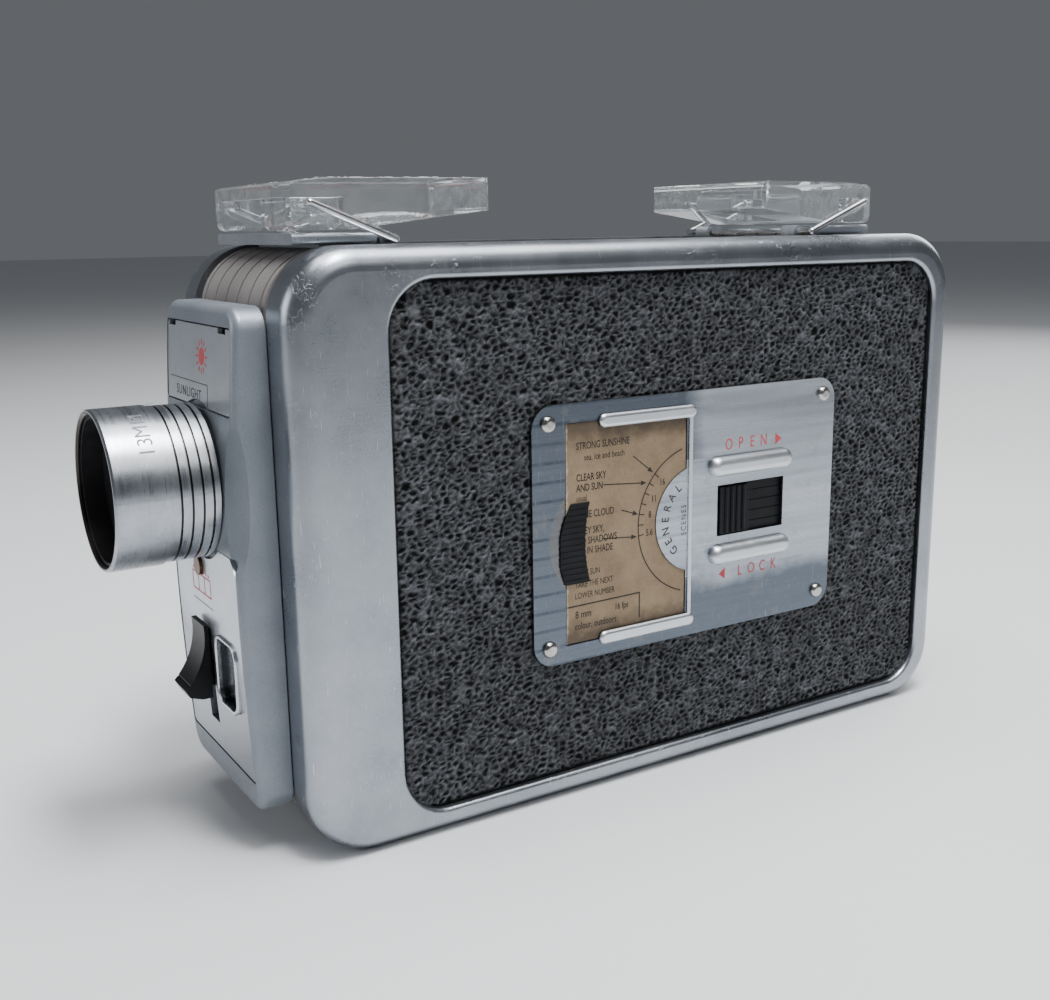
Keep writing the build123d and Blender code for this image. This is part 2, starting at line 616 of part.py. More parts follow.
def make_mainspring():
    """Flat coil of spring steel wound in the barrel."""
    x = (DRUM_X[0] + 1.8, DRUM_X[1] - 1.4)
    coils = Part()
    for turn in range(9):
        outer = 25.8 - turn * 1.9
        coils += rod_x(outer, x, *BARREL_CENTRE) - rod_x(outer - 0.6, x, *BARREL_CENTRE)
    y, z = BARREL_CENTRE
    return coils + block(x, (y - 0.3, y + 0.3), (z + 10.2, z + 25.6))


def make_winding_arbor():
    shaft = rod_x(ARBOR_R, (-29.6, DECK_X[1] + 0.6), *BARREL_CENTRE)
    return shaft + rod_x(5.6, (-9.9, -8.1), *BARREL_CENTRE)


KEY_HUB_X = (-33.4, -29.6)
KEY_PIVOT_X = -31.9


def make_key_hub():
    hub = rod_x(11.0, KEY_HUB_X, *BARREL_CENTRE)
    hub = chamfer(hub.edges().filter_by(GeomType.CIRCLE).sort_by(Axis.X)[0], 0.6)
    for side in (-1, 1):
        flat = BARREL_CENTRE[1] + side * 9.6
        hub -= block((-40, -20), (-20, 30), sorted((flat, flat + side * 5)))
        pin_end = BARREL_CENTRE[1] + side * 12.4
        hub += rod_z(1.1, sorted((flat - side, pin_end)), KEY_PIVOT_X, BARREL_CENTRE[0])
    return hub


def make_key_bail():
    """Folding handle of the winding key, lying flat towards the rear."""
    y0, z0 = BARREL_CENTRE
    x = (KEY_PIVOT_X - 1.5, KEY_PIVOT_X + 1.5)
    outer = slab_x(x, (y0 - 3.2, y0 + 27), (z0 - 13.6, z0 + 13.6), 3.1)
    outer = outer - slab_x((-40, -20), (y0 - 14, y0 + 22.5), (z0 - 9.9, z0 + 9.9), 6.0)
    for side in (-1, 1):
        outer -= rod_z(1.1 + RUN_FIT, sorted((z0 + side * 9, z0 + side * 12.8)), KEY_PIVOT_X, y0)
    outer -= block((-40, -20), (y0 - 4, y0 - 1.6), (z0 - 20, z0 + 20))
    return outer


escutcheon = rod_x(13.0, (-29.2, -LEATHER_X), *BARREL_CENTRE) - rod_x(4.6, (-40, -20), *BARREL_CENTRE)
parts["key_escutcheon"] = escutcheon
parts["winding_arbor"] = make_winding_arbor()
parts["key_hub"] = make_key_hub()
parts["key_bail"] = make_key_bail()
parts["spring_barrel"] = make_spring_barrel()
parts["mainspring"] = make_mainspring()


def arbor(centre, wheel, pinion):
    """Gear arbor with a wheel, a pinion and pivots that run in the deck and the bridge."""
    shaft = rod_x(1.6, (BRIDGE_X[1] + 0.3, DECK_X[0] - 0.3), *centre)
    pivots = rod_x(PIVOT_PIN_R, (BRIDGE_X[0], DECK_X[1]), *centre)
    return shaft + pivots + wheel + pinion


FIRST_WHEEL_X = (-10.5, -9.1)
SECOND_WHEEL_X = (-13.4, -12.0)
first_phase = meshing_phase(FIRST_ANGLE, PINION_TEETH)
second_phase = meshing_phase(SECOND_ANGLE, PINION_TEETH)
crank_phase = meshing_phase(THIRD_ANGLE, PINION_TEETH)
governor_phase = meshing_phase(GOVERNOR_ANGLE, PINION_TEETH, SECOND_TEETH, THIRD_ANGLE)

parts["first_arbor"] = arbor(
    FIRST_CENTRE,
    gear(FIRST_TEETH, FIRST_MODULE, FIRST_WHEEL_X, FIRST_CENTRE, SECOND_ANGLE),
    gear(PINION_TEETH, MAIN_MODULE, (-13.4, -11.0), FIRST_CENTRE, first_phase))
parts["second_arbor"] = arbor(
    SECOND_CENTRE,
    gear(SECOND_TEETH, SECOND_MODULE, SECOND_WHEEL_X, SECOND_CENTRE, THIRD_ANGLE),
    gear(PINION_TEETH, FIRST_MODULE, (-10.7, -8.9), SECOND_CENTRE, second_phase))


def make_crankshaft():
    pinion = gear(PINION_TEETH, SECOND_MODULE, (-13.6, -11.8), CRANK_CENTRE, crank_phase)
    shaft = rod_x(PIVOT_PIN_R, (BRIDGE_X[0], -4.4), *CRANK_CENTRE)
    collar = rod_x(1.6, (BRIDGE_X[1] + 0.3, DECK_X[0] - 0.3), *CRANK_CENTRE)
    disc = rod_x(4.2, (-5.4, -4.4), *CRANK_CENTRE)
    pin = rod_x(0.8, (-4.4, -3.2), CRANK_CENTRE[0], CRANK_CENTRE[1] + 1.9)
    return pinion + shaft + collar + disc + pin


def make_governor():
    pinion = gear(PINION_TEETH, SECOND_MODULE, (-13.6, -11.8), GOVERNOR_CENTRE, governor_phase)
    disc = rod_x(6.5, (-17.0, -16.0), *GOVERNOR_CENTRE)
    body = arbor(GOVERNOR_CENTRE, pinion, disc)
    for side in (-1, 1):
        body += rod_x(1.8, (-20.5, -17.0), GOVERNOR_CENTRE[0] + side * 4.2, GOVERNOR_CENTRE[1])
    return body


parts["crankshaft"] = make_crankshaft()
parts["governor"] = make_governor()


# ---- deck and bridge that carry the clockwork ----------------------------------------------------
POSTS = [(-64.0, 84.0), (-64.0, 20.0), (36.0, 86.0), (36.0, 20.0)]
STOP_PIVOT = (-70.0, 31.0)
TRAIN = [FIRST_CENTRE, SECOND_CENTRE, CRANK_CENTRE, GOVERNOR_CENTRE]


def make_deck():
    deck = body_slab(DECK_X, BAND_INNER_INSET)
    for centre in TRAIN:
        deck -= rod_x(PIVOT_PIN_R + 0.05, (-10, 0), *centre)
    deck -= rod_x(ARBOR_R + RUN_FIT, (-10, 0), *BARREL_CENTRE)
    deck -= rod_x(2.0 + RUN_FIT, (-10, 0), *TAKE_UP_CENTRE)
    deck -= rod_x(1.2 + 0.05, (-10, 0), *FOOTAGE_CENTRE)
    deck -= rod_x(1.2 + 0.05, (-10, 0), *STOP_PIVOT)
    deck -= rod_z(8.1, (0, 8.6), 0, 0)
    deck -= rod_y(SLEEVE_R + 2.0, (-80, -70), 0, LENS_Z)
    return deck


def make_bridge():
    bridge = slab_x(BRIDGE_X, (-70.4, 42.0), (14.0, 92.0), 6.0)
    for centre in TRAIN:
        bridge -= rod_x(PIVOT_PIN_R + 0.05, (-30, 0), *centre)
    for y, z in POSTS:
        bridge -= rod_x(1.2, (-30, 0), y, z)
    return bridge - rod_x(ARBOR_R + RUN_FIT, (-30, 0), *BARREL_CENTRE)


def make_posts():
    posts = Part()
    for y, z in POSTS:
        posts += rod_x(2.4, (BRIDGE_X[1], DECK_X[0]), y, z) + rod_x(1.2, (BRIDGE_X[0], BRIDGE_X[1]), y, z)
    return posts


parts["mechanism_deck"] = make_deck()
parts["motor_bridge"] = make_bridge()
parts["bridge_posts"] = make_posts()

parts["catch_post"] = rod_x(2.5, (DECK_X[1], 22.1), 11.2, 51.2)

stop_lever = rod_x(1.2, (-9.6, DECK_X[1]), *STOP_PIVOT) + rod_x(2.6, (-9.4, -7.8), *STOP_PIVOT)
stop_y, stop_z = STOP_PIVOT
stop_lever += block((-9.4, -7.8), (stop_y - 8.6, stop_y), (stop_z - 1.2, stop_z + 1.2))
stop_lever += block((-9.4, -7.8), (stop_y - 1.2, stop_y + 1.2), (stop_z, stop_z + 9.0))
parts["stop_lever"] = stop_lever


# ---- film transport ------------------------------------------------------------------------------
def make_spool(centre, bore):
    left, right = SPOOL_X
    spool = rod_x(SPOOL_R, (left, left + 0.7), *centre)
    spool += rod_x(SPOOL_R, (right - 0.7, right), *centre)
    spool += rod_x(11.0, (left + 0.6, right - 0.6), *centre)
    for turn in range(3):
        hole = towards(centre, radians(90 + 120 * turn), 18.0)
        spool -= rod_x(3.2, (right - 0.8, right + 1), *hole)
        spool -= rod_x(3.2, (left - 1, left + 0.8), *hole)
    return spool - rod_x(bore, (-20, 30), *centre)


SPINDLE_R = 3.9
parts["supply_spool"] = make_spool(SUPPLY_CENTRE, SPINDLE_R + RUN_FIT)
parts["take_up_spool"] = make_spool(TAKE_UP_CENTRE, SPINDLE_R)
supply_spindle = rod_x(SPINDLE_R, (DECK_X[1], 15.5), *SUPPLY_CENTRE)
parts["supply_spindle"] = supply_spindle - rod_x(1.4, (12, 20), *SUPPLY_CENTRE)
take_up = rod_x(SPINDLE_R, (DECK_X[1] + 0.3, 15.5), *TAKE_UP_CENTRE)
take_up += rod_x(2.0, (-8.6, DECK_X[1] + 0.4), *TAKE_UP_CENTRE) + rod_x(3.2, (-8.6, -7.8), *TAKE_UP_CENTRE)
parts["take_up_spindle"] = take_up


def make_film_gate():
    gate = slab_y((GATE_Y - 1.0, GATE_Y), (-5.2, 13.0), (44.0, 92.0), 1.0)
    gate -= block((-2.45, 2.45), (-70, -50), (LENS_Z - 1.8, LENS_Z + 1.8))
    gate -= block((-4.1, -3.0), (-70, -50), (56.0, 62.5))
    foot = block((-6.0, -5.2), (GATE_Y - 1.0, GATE_Y + 7.0), (44.0, 92.0))
    guide = block((-5.2, 13.0), (GATE_Y + 6.0, GATE_Y + 7.0), (58.0, 78.0))
    for z in (61.0, 75.0):
        guide -= rod_y(1.26, (-70, -50), 4.0, z)
    return gate + foot + guide


pressure_plate = slab_y((GATE_Y + 0.4, GATE_Y + 1.4), (-4.6, 12.4), (54.0, 80.0), 1.0)
for z in (61.0, 75.0):
    pressure_plate += rod_y(1.2, (GATE_Y + 1.3, GATE_Y + 9.0), 4.0, z)
parts["film_gate"] = make_film_gate()
parts["pressure_plate"] = pressure_plate


def make_claw():
    """Sliding shutter plate with its film claw."""
    plate = block((-5.2, 6.0), (-66.2, -65.4), (54.5, 78.0))
    plate -= block((-2.9, 2.9), (-70, -60), (LENS_Z - 2.4, LENS_Z + 2.4))
    tail = block((-2.8, -2.0), (-69.6, -65.4), (44.5, 56.0))
    claw = block((-4.0, -3.1), (-65.5, GATE_Y + 0.2), (60.7, 61.5))
    return plate + tail + claw


parts["shutter_claw"] = make_claw()

shutter_guide = block((DECK_X[1], -5.3), (-67.4, -64.2), (57.0, 75.0))
shutter_guide += block((-5.3, -4.2), (-67.4, -66.5), (57.0, 75.0))
shutter_guide += block((-5.3, -4.2), (-65.1, -64.2), (64.0, 75.0))
parts["shutter_guide"] = shutter_guide


# ---- footage indicator ---------------------------------------------------------------------------
FEELER_ANGLE = radians(105)
FEELER_LENGTH = 22.0
feeler_tip = towards(FOOTAGE_CENTRE, FEELER_ANGLE, FEELER_LENGTH)
feeler_middle = towards(FOOTAGE_CENTRE, FEELER_ANGLE, FEELER_LENGTH / 2)
feeler = rod_x(3.0, (1.0, 3.0), *FOOTAGE_CENTRE) + rod_x(1.8, (1.0, 3.0), *feeler_tip)
feeler += Pos(2.0, *feeler_middle) * Rot(degrees(FEELER_ANGLE), 0, 0) * Box(2.0, FEELER_LENGTH, 2.4)
feeler -= rod_x(1.2, (-10, 10), *FOOTAGE_CENTRE)
parts["feeler_arm"] = feeler
parts["footage_arbor"] = rod_x(1.2, (-25.0, 3.6), *FOOTAGE_CENTRE) + rod_x(2.2, (-5.6, -4.0), *FOOTAGE_CENTRE)
parts["footage_dial"] = rod_x(9.0, (-25.6, -25.0), *FOOTAGE_CENTRE)
counter_glass = rod_x(6.0, (-28.0, -26.4), *FOOTAGE_CENTRE) + rod_x(6.95, (-28.6, -27.5), *FOOTAGE_CENTRE)
parts["counter_window"] = counter_glass

for name, shape in parts.items():
    export_step(shape, f"parts/{name}.step")
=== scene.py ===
import json
import random
from math import cos, pi, radians, sin, sqrt

import bmesh
import bpy
import numpy as np
from mathutils import Matrix, Vector


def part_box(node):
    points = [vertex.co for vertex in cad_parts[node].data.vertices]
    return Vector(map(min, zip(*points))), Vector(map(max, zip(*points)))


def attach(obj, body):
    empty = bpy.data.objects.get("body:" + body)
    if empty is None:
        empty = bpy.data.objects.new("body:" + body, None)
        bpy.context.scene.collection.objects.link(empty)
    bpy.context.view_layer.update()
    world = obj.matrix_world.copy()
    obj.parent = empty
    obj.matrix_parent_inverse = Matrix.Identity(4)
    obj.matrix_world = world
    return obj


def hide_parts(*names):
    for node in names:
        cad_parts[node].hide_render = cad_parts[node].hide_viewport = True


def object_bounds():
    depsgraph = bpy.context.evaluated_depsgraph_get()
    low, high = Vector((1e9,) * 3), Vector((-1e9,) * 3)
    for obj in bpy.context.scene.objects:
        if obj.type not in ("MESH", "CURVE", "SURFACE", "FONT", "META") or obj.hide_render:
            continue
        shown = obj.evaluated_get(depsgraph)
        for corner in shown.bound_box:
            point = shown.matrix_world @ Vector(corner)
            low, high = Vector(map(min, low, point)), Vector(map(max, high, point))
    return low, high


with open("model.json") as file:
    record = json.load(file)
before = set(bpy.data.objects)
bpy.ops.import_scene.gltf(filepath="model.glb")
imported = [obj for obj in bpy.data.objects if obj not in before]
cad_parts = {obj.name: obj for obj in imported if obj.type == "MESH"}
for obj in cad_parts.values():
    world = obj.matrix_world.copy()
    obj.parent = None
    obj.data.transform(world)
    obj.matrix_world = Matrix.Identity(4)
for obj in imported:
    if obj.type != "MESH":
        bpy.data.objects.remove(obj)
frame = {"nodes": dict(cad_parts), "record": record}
cad_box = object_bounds()
nodes = frame["nodes"]

MM = 0.001
X_AXIS = Vector((1, 0, 0))
Y_AXIS = Vector((0, 1, 0))
Z_AXIS = Vector((0, 0, 1))

# places taken from the CAD model, in millimetres
LEATHER_TOP = 28.3
PLATE_FACE = 29.1
LENS_Z = 66.9
BARREL_R = 14.35
DIAL_CENTRE = (6.4, 52.6)


# ---- camera --------------------------------------------------------------------------------------
CAMERA_PLACE = Vector((216.3, -150.7, 110.5)) * MM
CAMERA_AZIMUTH = radians(58.325)
CAMERA_ELEVATION = radians(12.526)
CAMERA_ROLL = radians(-0.836)
SENSOR_WIDTH = 36.0
FOCAL_LENGTH = 41.84


def make_camera():
    az, el, roll = CAMERA_AZIMUTH, CAMERA_ELEVATION, CAMERA_ROLL
    back = Vector((sin(az) * cos(el), -cos(az) * cos(el), sin(el)))
    level = Vector((cos(az), sin(az), 0))
    upright = back.cross(level)
    right = level * cos(roll) + upright * sin(roll)
    up = upright * cos(roll) - level * sin(roll)
    data = bpy.data.cameras.new("camera")
    data.sensor_width = SENSOR_WIDTH
    data.lens = FOCAL_LENGTH
    data.clip_start = 0.01
    data.clip_end = 20.0
    camera = bpy.data.objects.new("camera", data)
    turn = Matrix((right, up, back)).transposed()
    camera.matrix_world = Matrix.Translation(CAMERA_PLACE) @ turn.to_4x4()
    bpy.context.scene.collection.objects.link(camera)
    bpy.context.scene.camera = camera


make_camera()


# ---- light and world -----------------------------------------------------------------------------
def area_light(name, place, target, size, power, colour=(1, 1, 1)):
    data = bpy.data.lights.new(name, "AREA")
    data.shape = "RECTANGLE"
    data.size, data.size_y = size
    data.energy = power
    data.color = colour
    light = bpy.data.objects.new(name, data)
    light.location = place
    light.rotation_euler = (Vector(target) - Vector(place)).to_track_quat("-Z", "Y").to_euler()
    bpy.context.scene.collection.objects.link(light)


area_light("overhead", (0.02, 0.08, 0.80), (0, 0, 0.05), (0.50, 0.80), 7.0)
area_light("grazing_key", (0.17, -0.02, 0.62), (0.03, 0, 0.05), (0.10, 0.22), 4.2, (0.97, 0.985, 1.0))
area_light("front_left", (-0.35, -0.85, 0.35), (0, -0.05, 0.06), (0.45, 0.45), 2.2, (0.93, 0.96, 1.0))
area_light("side_fill", (0.60, 0.10, 0.75), (0.03, 0, 0.05), (0.35, 0.5), 1.7, (1.0, 0.985, 0.96))
area_light("rear", (-0.35, 0.9, 0.5), (0, 0, 0.06), (0.6, 0.4), 3.5)


def make_world():
    world = bpy.data.worlds.new("studio")
    world.use_nodes = True
    background = world.node_tree.nodes["Background"]
    background.inputs["Color"].default_value = (0.78, 0.82, 0.88, 1)
    background.inputs["Strength"].default_value = 0.16
    bpy.context.scene.world = world


make_world()


# ---- material helpers ----------------------------------------------------------------------------
def rgba(value):
    """An opaque colour from three numbers; a socket is passed on as it is."""
    return value + (1,) if isinstance(value, tuple) else value


class Surface:
    """A material being put together; textures run in the part's own frame, in millimetres."""

    def __init__(self, name):
        self.material = bpy.data.materials.new(name)
        self.material.use_nodes = True
        self.tree = self.material.node_tree
        self.shader = self.tree.nodes["Principled BSDF"]
        coords = self.tree.nodes.new("ShaderNodeTexCoord")
        self.mm = self.stretch(coords.outputs["Object"], (1000, 1000, 1000))

    def node(self, kind, **settings):
        made = self.tree.nodes.new(kind)
        for key, value in settings.items():
            setattr(made, key, value)
        return made

    def feed(self, socket, value):
        if isinstance(value, bpy.types.NodeSocket):
            self.tree.links.new(value, socket)
        else:
            socket.default_value = value

    def stretch(self, vector, scale, turn=(0, 0, 0)):
        made = self.node("ShaderNodeMapping")
        self.feed(made.inputs["Vector"], vector)
        made.inputs["Scale"].default_value = scale
        made.inputs["Rotation"].default_value = turn
        return made.outputs["Vector"]

    def noise(self, scale, detail=3.0, rough=0.55, vector=None, distort=0.0):
        made = self.node("ShaderNodeTexNoise")
        self.feed(made.inputs["Vector"], vector or self.mm)
        made.inputs["Scale"].default_value = scale
        made.inputs["Detail"].default_value = detail
        made.inputs["Roughness"].default_value = rough
        made.inputs["Distortion"].default_value = distort
        return made.outputs["Fac"]

    def noise_colour(self, scale):
        made = self.node("ShaderNodeTexNoise")
        self.feed(made.inputs["Vector"], self.mm)
        made.inputs["Scale"].default_value = scale
        made.inputs["Detail"].default_value = 2.0
        return made.outputs["Color"]

    def ramp(self, value, low, high, out_low=0.0, out_high=1.0):
        made = self.node("ShaderNodeMapRange")
        self.feed(made.inputs["Value"], value)
        made.inputs["From Min"].default_value = low
        made.inputs["From Max"].default_value = high
        made.inputs["To Min"].default_value = out_low
        made.inputs["To Max"].default_value = out_high
        return made.outputs["Result"]

    def maths(self, operation, a, b=0.0):
        made = self.node("ShaderNodeMath", operation=operation)
        self.feed(made.inputs[0], a)
        self.feed(made.inputs[1], b)
        return made.outputs[0]

    def mix(self, amount, a, b):
        """The colour sockets of a Mix node are inputs 6 and 7 and output 2."""
        made = self.node("ShaderNodeMix", data_type="RGBA")
        self.feed(made.inputs[0], amount)
        self.feed(made.inputs[6], rgba(a))
        self.feed(made.inputs[7], rgba(b))
        return made.outputs[2]

    def warp(self, amount, scale):
        """Coordinates pushed about by a coarse noise, so that a pattern loses its straightness."""
        push = self.node("ShaderNodeVectorMath", operation="SCALE")
        self.feed(push.inputs[0], self.noise_colour(scale))
        push.inputs["Scale"].default_value = amount
        total = self.node("ShaderNodeVectorMath", operation="ADD")
        self.feed(total.inputs[0], self.mm)
        self.feed(total.inputs[1], push.outputs[0])
        return total.outputs[0]

    def colour(self, value):
        self.feed(self.shader.inputs["Base Color"], rgba(value))

    def rough(self, value):
        self.feed(self.shader.inputs["Roughness"], value)

    def bump(self, height, distance, strength=1.0):
        made = self.node("ShaderNodeBump")
        self.feed(made.inputs["Height"], height)
        made.inputs["Distance"].default_value = distance * MM
        made.inputs["Strength"].default_value = strength
        self.feed(self.shader.inputs["Normal"], made.outputs["Normal"])

    def axis(self, name):
        made = self.node("ShaderNodeSeparateXYZ")
        self.feed(made.inputs[0], self.mm)
        return made.outputs[name]

    def upward(self, low, high):
        """0 to 1 as a face turns towards the sky: where dust gathers, and where painted light from above
        falls.
        """
        lift = self.node("ShaderNodeSeparateXYZ")
        self.feed(lift.inputs[0], self.node("ShaderNodeNewGeometry").outputs["Normal"])
        return self.ramp(lift.outputs["Z"], low, high)

    def scratches(self, vector, density=0.70):
        """Fine straight hairlines in several directions."""
        total = None
        for turn, scale in ((0.3, 0.16), (1.25, 0.13), (2.3, 0.2), (2.9, 0.11)):
            lines = self.stretch(vector, (1.0, 9.0, 0.35), (turn, 0.2, turn * 0.7))
            fine = self.ramp(self.noise(scale * 4, 2.0, 0.5, lines), density, density + 0.02)
            total = fine if total is None else self.maths("MAXIMUM", total, fine)
        return total


def set_constant(surface, **values):
    for key, value in values.items():
        surface.shader.inputs[key.replace("_", " ")].default_value = value


# ---- materials -----------------------------------------------------------------------------------
def satin_aluminium():
    s = Surface("satin_aluminium")
    set_constant(s, Metallic=1.0)
    cloud = s.noise(0.05, 4.0, 0.6)
    speck = s.noise(2.6, 3.0, 0.7)
    streak = s.noise(1.0, 3.0, 0.6, s.stretch(s.mm, (3.0, 0.06, 3.0)))
    curls = s.ramp(s.noise(0.55, 1.0, 0.5, s.warp(5.0, 0.22)), 0.497, 0.503)
    curls = s.maths("MULTIPLY", s.maths("MULTIPLY", curls, s.maths("SUBTRACT", 1.0, curls)), 4.0)
    patchy = s.ramp(s.noise(0.11, 2.0), 0.48, 0.62)
    curls = s.maths("MULTIPLY", curls, patchy)
    hair = s.maths("MAXIMUM", s.scratches(s.warp(3.0, 0.05), 0.735), curls)
    nick = s.ramp(s.noise(0.32, 1.0, 0.4), 0.81, 0.82)
    base = s.mix(s.ramp(cloud, 0.3, 0.7), (0.265, 0.290, 0.325), (0.40, 0.425, 0.46))
    base = s.mix(s.maths("MULTIPLY", s.ramp(speck, 0.5, 0.75), 0.35), base, (0.28, 0.30, 0.33))
    base = s.mix(s.maths("MULTIPLY", hair, 0.6), base, (0.80, 0.81, 0.83))
    base = s.mix(nick, base, (0.05, 0.05, 0.055))
    s.colour(base)
    mottle = s.maths("ADD", s.maths("MULTIPLY", cloud, 0.6), s.maths("MULTIPLY", speck, 0.4))
    level = s.ramp(mottle, 0.3, 0.7, 0.24, 0.37)
    s.rough(s.maths("MAXIMUM", level, s.maths("MULTIPLY", nick, 0.7)))
    height = s.maths("ADD", s.maths("MULTIPLY", speck, 0.5), s.maths("MULTIPLY", streak, 0.5))
    height = s.maths("SUBTRACT", height, s.maths("MULTIPLY", s.maths("MAXIMUM", hair, nick), 1.2))
    s.bump(height, 0.012)
    return s.material


LEATHER_RELIEF = 0.40


def leatherette():
    """Wrinkled covering: painted shade leaves the pits near-black, and painted light from above makes
    upward-facing ridge tops pale, with wear on them; the relief itself is modelled.
    """
    s = Surface("leatherette")
    depth = s.maths("SUBTRACT", LEATHER_TOP, s.maths("ABSOLUTE", s.axis("X")))
    fold = s.noise(1.9, 3.0, 0.6, s.warp(1.0, 0.8), 1.0)
    grit = s.noise(5.5, 3.0, 0.7)
    depth = s.maths("ADD", depth, s.maths("MULTIPLY", s.maths("SUBTRACT", fold, 0.5), 0.22))
    crest_painted_light = s.ramp(depth, 0.07, LEATHER_RELIEF * 0.84, 1.0, 0.0)
    crest_painted_light = s.maths("POWER", crest_painted_light, 1.5)
    # painted light from above: ridge tops facing up are coloured pale, those facing down stay dark
    upward = s.upward(-0.30, 0.50)
    crest_painted_light = s.maths("MULTIPLY", crest_painted_light, s.maths("ADD", 0.12, s.maths("MULTIPLY", upward, 0.88)))
    # painted shade: the pits are coloured near-black
    tone = s.mix(crest_painted_light, (0.0012, 0.0012, 0.0015), (0.250, 0.262, 0.285))
    # the palest tone is painted highlight on lit ridge tops as well as wear
    worn = s.ramp(s.maths("ADD", crest_painted_light, s.maths("MULTIPLY", grit, 0.35)), 0.80, 1.10)
    tone = s.mix(worn, tone, (0.400, 0.415, 0.435))
    warm = s.ramp(s.noise(0.03, 2.0), 0.35, 0.7, 0.0, 0.22)
    tone = s.mix(warm, tone, s.mix(crest_painted_light, (0.002, 0.0015, 0.0015), (0.070, 0.060, 0.056)))
    s.colour(tone)
    s.rough(s.ramp(crest_painted_light, 0.0, 1.0, 0.75, 0.42))
    set_constant(s, Specular_IOR_Level=0.10)
    s.bump(s.maths("ADD", fold, s.maths("MULTIPLY", grit, 0.3)), 0.16)
    return s.material


def painted(name, dark, light, speckle, roughness, metallic=0.0):
    s = Surface(name)
    set_constant(s, Metallic=metallic)
    fine = s.noise(3.4, 3.0, 0.7)
    broad = s.noise(0.06, 3.0, 0.6)
    grime = s.ramp(s.noise(0.35, 5.0, 0.7), 0.62, 0.8)
    base = s.mix(s.ramp(broad, 0.3, 0.7), dark, light)
    base = s.mix(s.maths("MULTIPLY", s.ramp(fine, 0.48, 0.72), speckle), base, tuple(c * 0.62 for c in dark))
    base = s.mix(s.maths("MULTIPLY", grime, 0.25), base, tuple(c * 0.45 for c in dark))
    s.colour(base)
    s.rough(s.ramp(fine, 0.3, 0.75, roughness - 0.05, roughness + 0.1))
    orange_peel = s.noise(1.3, 2.0, 0.5)
    s.bump(s.maths("ADD", s.maths("MULTIPLY", fine, 0.35), orange_peel), 0.02)
    return s.material


STRIPE_START_Z = 108.0
STRIPE_PITCH = 3.62


def plate_aluminium():
    """Smooth sheet with faint printed stripes, stains and hairlines, darker in its recesses; a painted
    reflection leaves it dark left of the card and along its foot, and the raised beads carry a painted
    highlight.
    """
    s = Surface("plate_aluminium")
    set_constant(s, Metallic=1.0)
    streak = s.noise(1.0, 3.0, 0.6, s.stretch(s.mm, (1.4, 0.035, 1.4)))
    band = s.noise(1.0, 2.0, 0.5, s.stretch(s.mm, (0.22, 0.012, 0.22)))
    stain = s.ramp(s.noise(0.22, 5.0, 0.72), 0.56, 0.80)
    hair = s.scratches(s.warp(2.0, 0.07), 0.735)
    base = s.mix(s.ramp(band, 0.35, 0.65), (0.30, 0.335, 0.375), (0.47, 0.505, 0.55))
    # painted reflection: the sheet is dark left of the card's right edge and along its foot, bright elsewhere
    # and on the tongue
    sway = s.maths("MULTIPLY", s.maths("SUBTRACT", s.noise(0.09, 3.0), 0.5), 9.0)
    right_of_card = s.ramp(s.maths("ADD", s.axis("Y"), sway), 2.0, 8.0)
    above_foot = s.ramp(s.maths("ADD", s.axis("Z"), sway), 36.5, 41.5)
    painted_reflection = s.maths("MULTIPLY", right_of_card, above_foot)
    from_middle = s.maths("ABSOLUTE", s.maths("SUBTRACT", s.axis("Z"), DIAL_CENTRE[1]))
    tongue = s.maths("MULTIPLY", s.ramp(s.axis("Y"), -9.2, -8.8), s.ramp(from_middle, 12.0, 12.5, 1.0, 0.0))
    painted_reflection = s.maths("MAXIMUM", painted_reflection, tongue)
    base = s.mix(painted_reflection, (0.115, 0.135, 0.165), base)
    along = s.ramp(s.axis("Y"), -31.0, 14.0, 0.75, 0.0)
    below_start = s.maths("SUBTRACT", STRIPE_START_Z, s.axis("Z"))
    rows = s.maths("FRACT", s.maths("DIVIDE", below_start, STRIPE_PITCH))
    off_line = s.maths("ABSOLUTE", s.maths("SUBTRACT", rows, 0.05))
    stripe = s.maths("MULTIPLY", s.ramp(off_line, 0.10, 0.16, 1.0, 0.0), along)
    wear = s.ramp(s.noise(0.5, 4.0, 0.7), 0.35, 0.65, 0.4, 1.0)
    base = s.mix(s.maths("MULTIPLY", stripe, wear), base, (0.045, 0.055, 0.075))
    base = s.mix(s.maths("MULTIPLY", stain, 0.5), base, (0.30, 0.285, 0.26))
    base = s.mix(s.maths("MULTIPLY", hair, 0.45), base, (0.42, 0.43, 0.45))
    # darker where the surface lies below the plate face, on the door side
    recess = s.ramp(s.axis("X"), 28.72, 29.02, 1.0, 0.0)
    on_door = s.ramp(s.axis("X"), 28.0, 28.2)
    base = s.mix(s.maths("MULTIPLY", s.maths("MULTIPLY", recess, on_door), 0.75), base, (0.16, 0.155, 0.15))
    # painted highlight: the raised beads are coloured pale, and made rougher
    raised = s.ramp(s.axis("X"), 29.15, 29.45)
    base = s.mix(raised, base, (0.66, 0.69, 0.72))
    s.colour(base)
    level = s.ramp(streak, 0.3, 0.7, 0.22, 0.36)
    level = s.maths("ADD", level, s.maths("MULTIPLY", raised, 0.10))
    s.rough(s.maths("ADD", level, s.maths("MULTIPLY", stain, 0.2)))
    s.bump(s.maths("ADD", streak, s.maths("MULTIPLY", hair, -0.8)), 0.006)
    return s.material


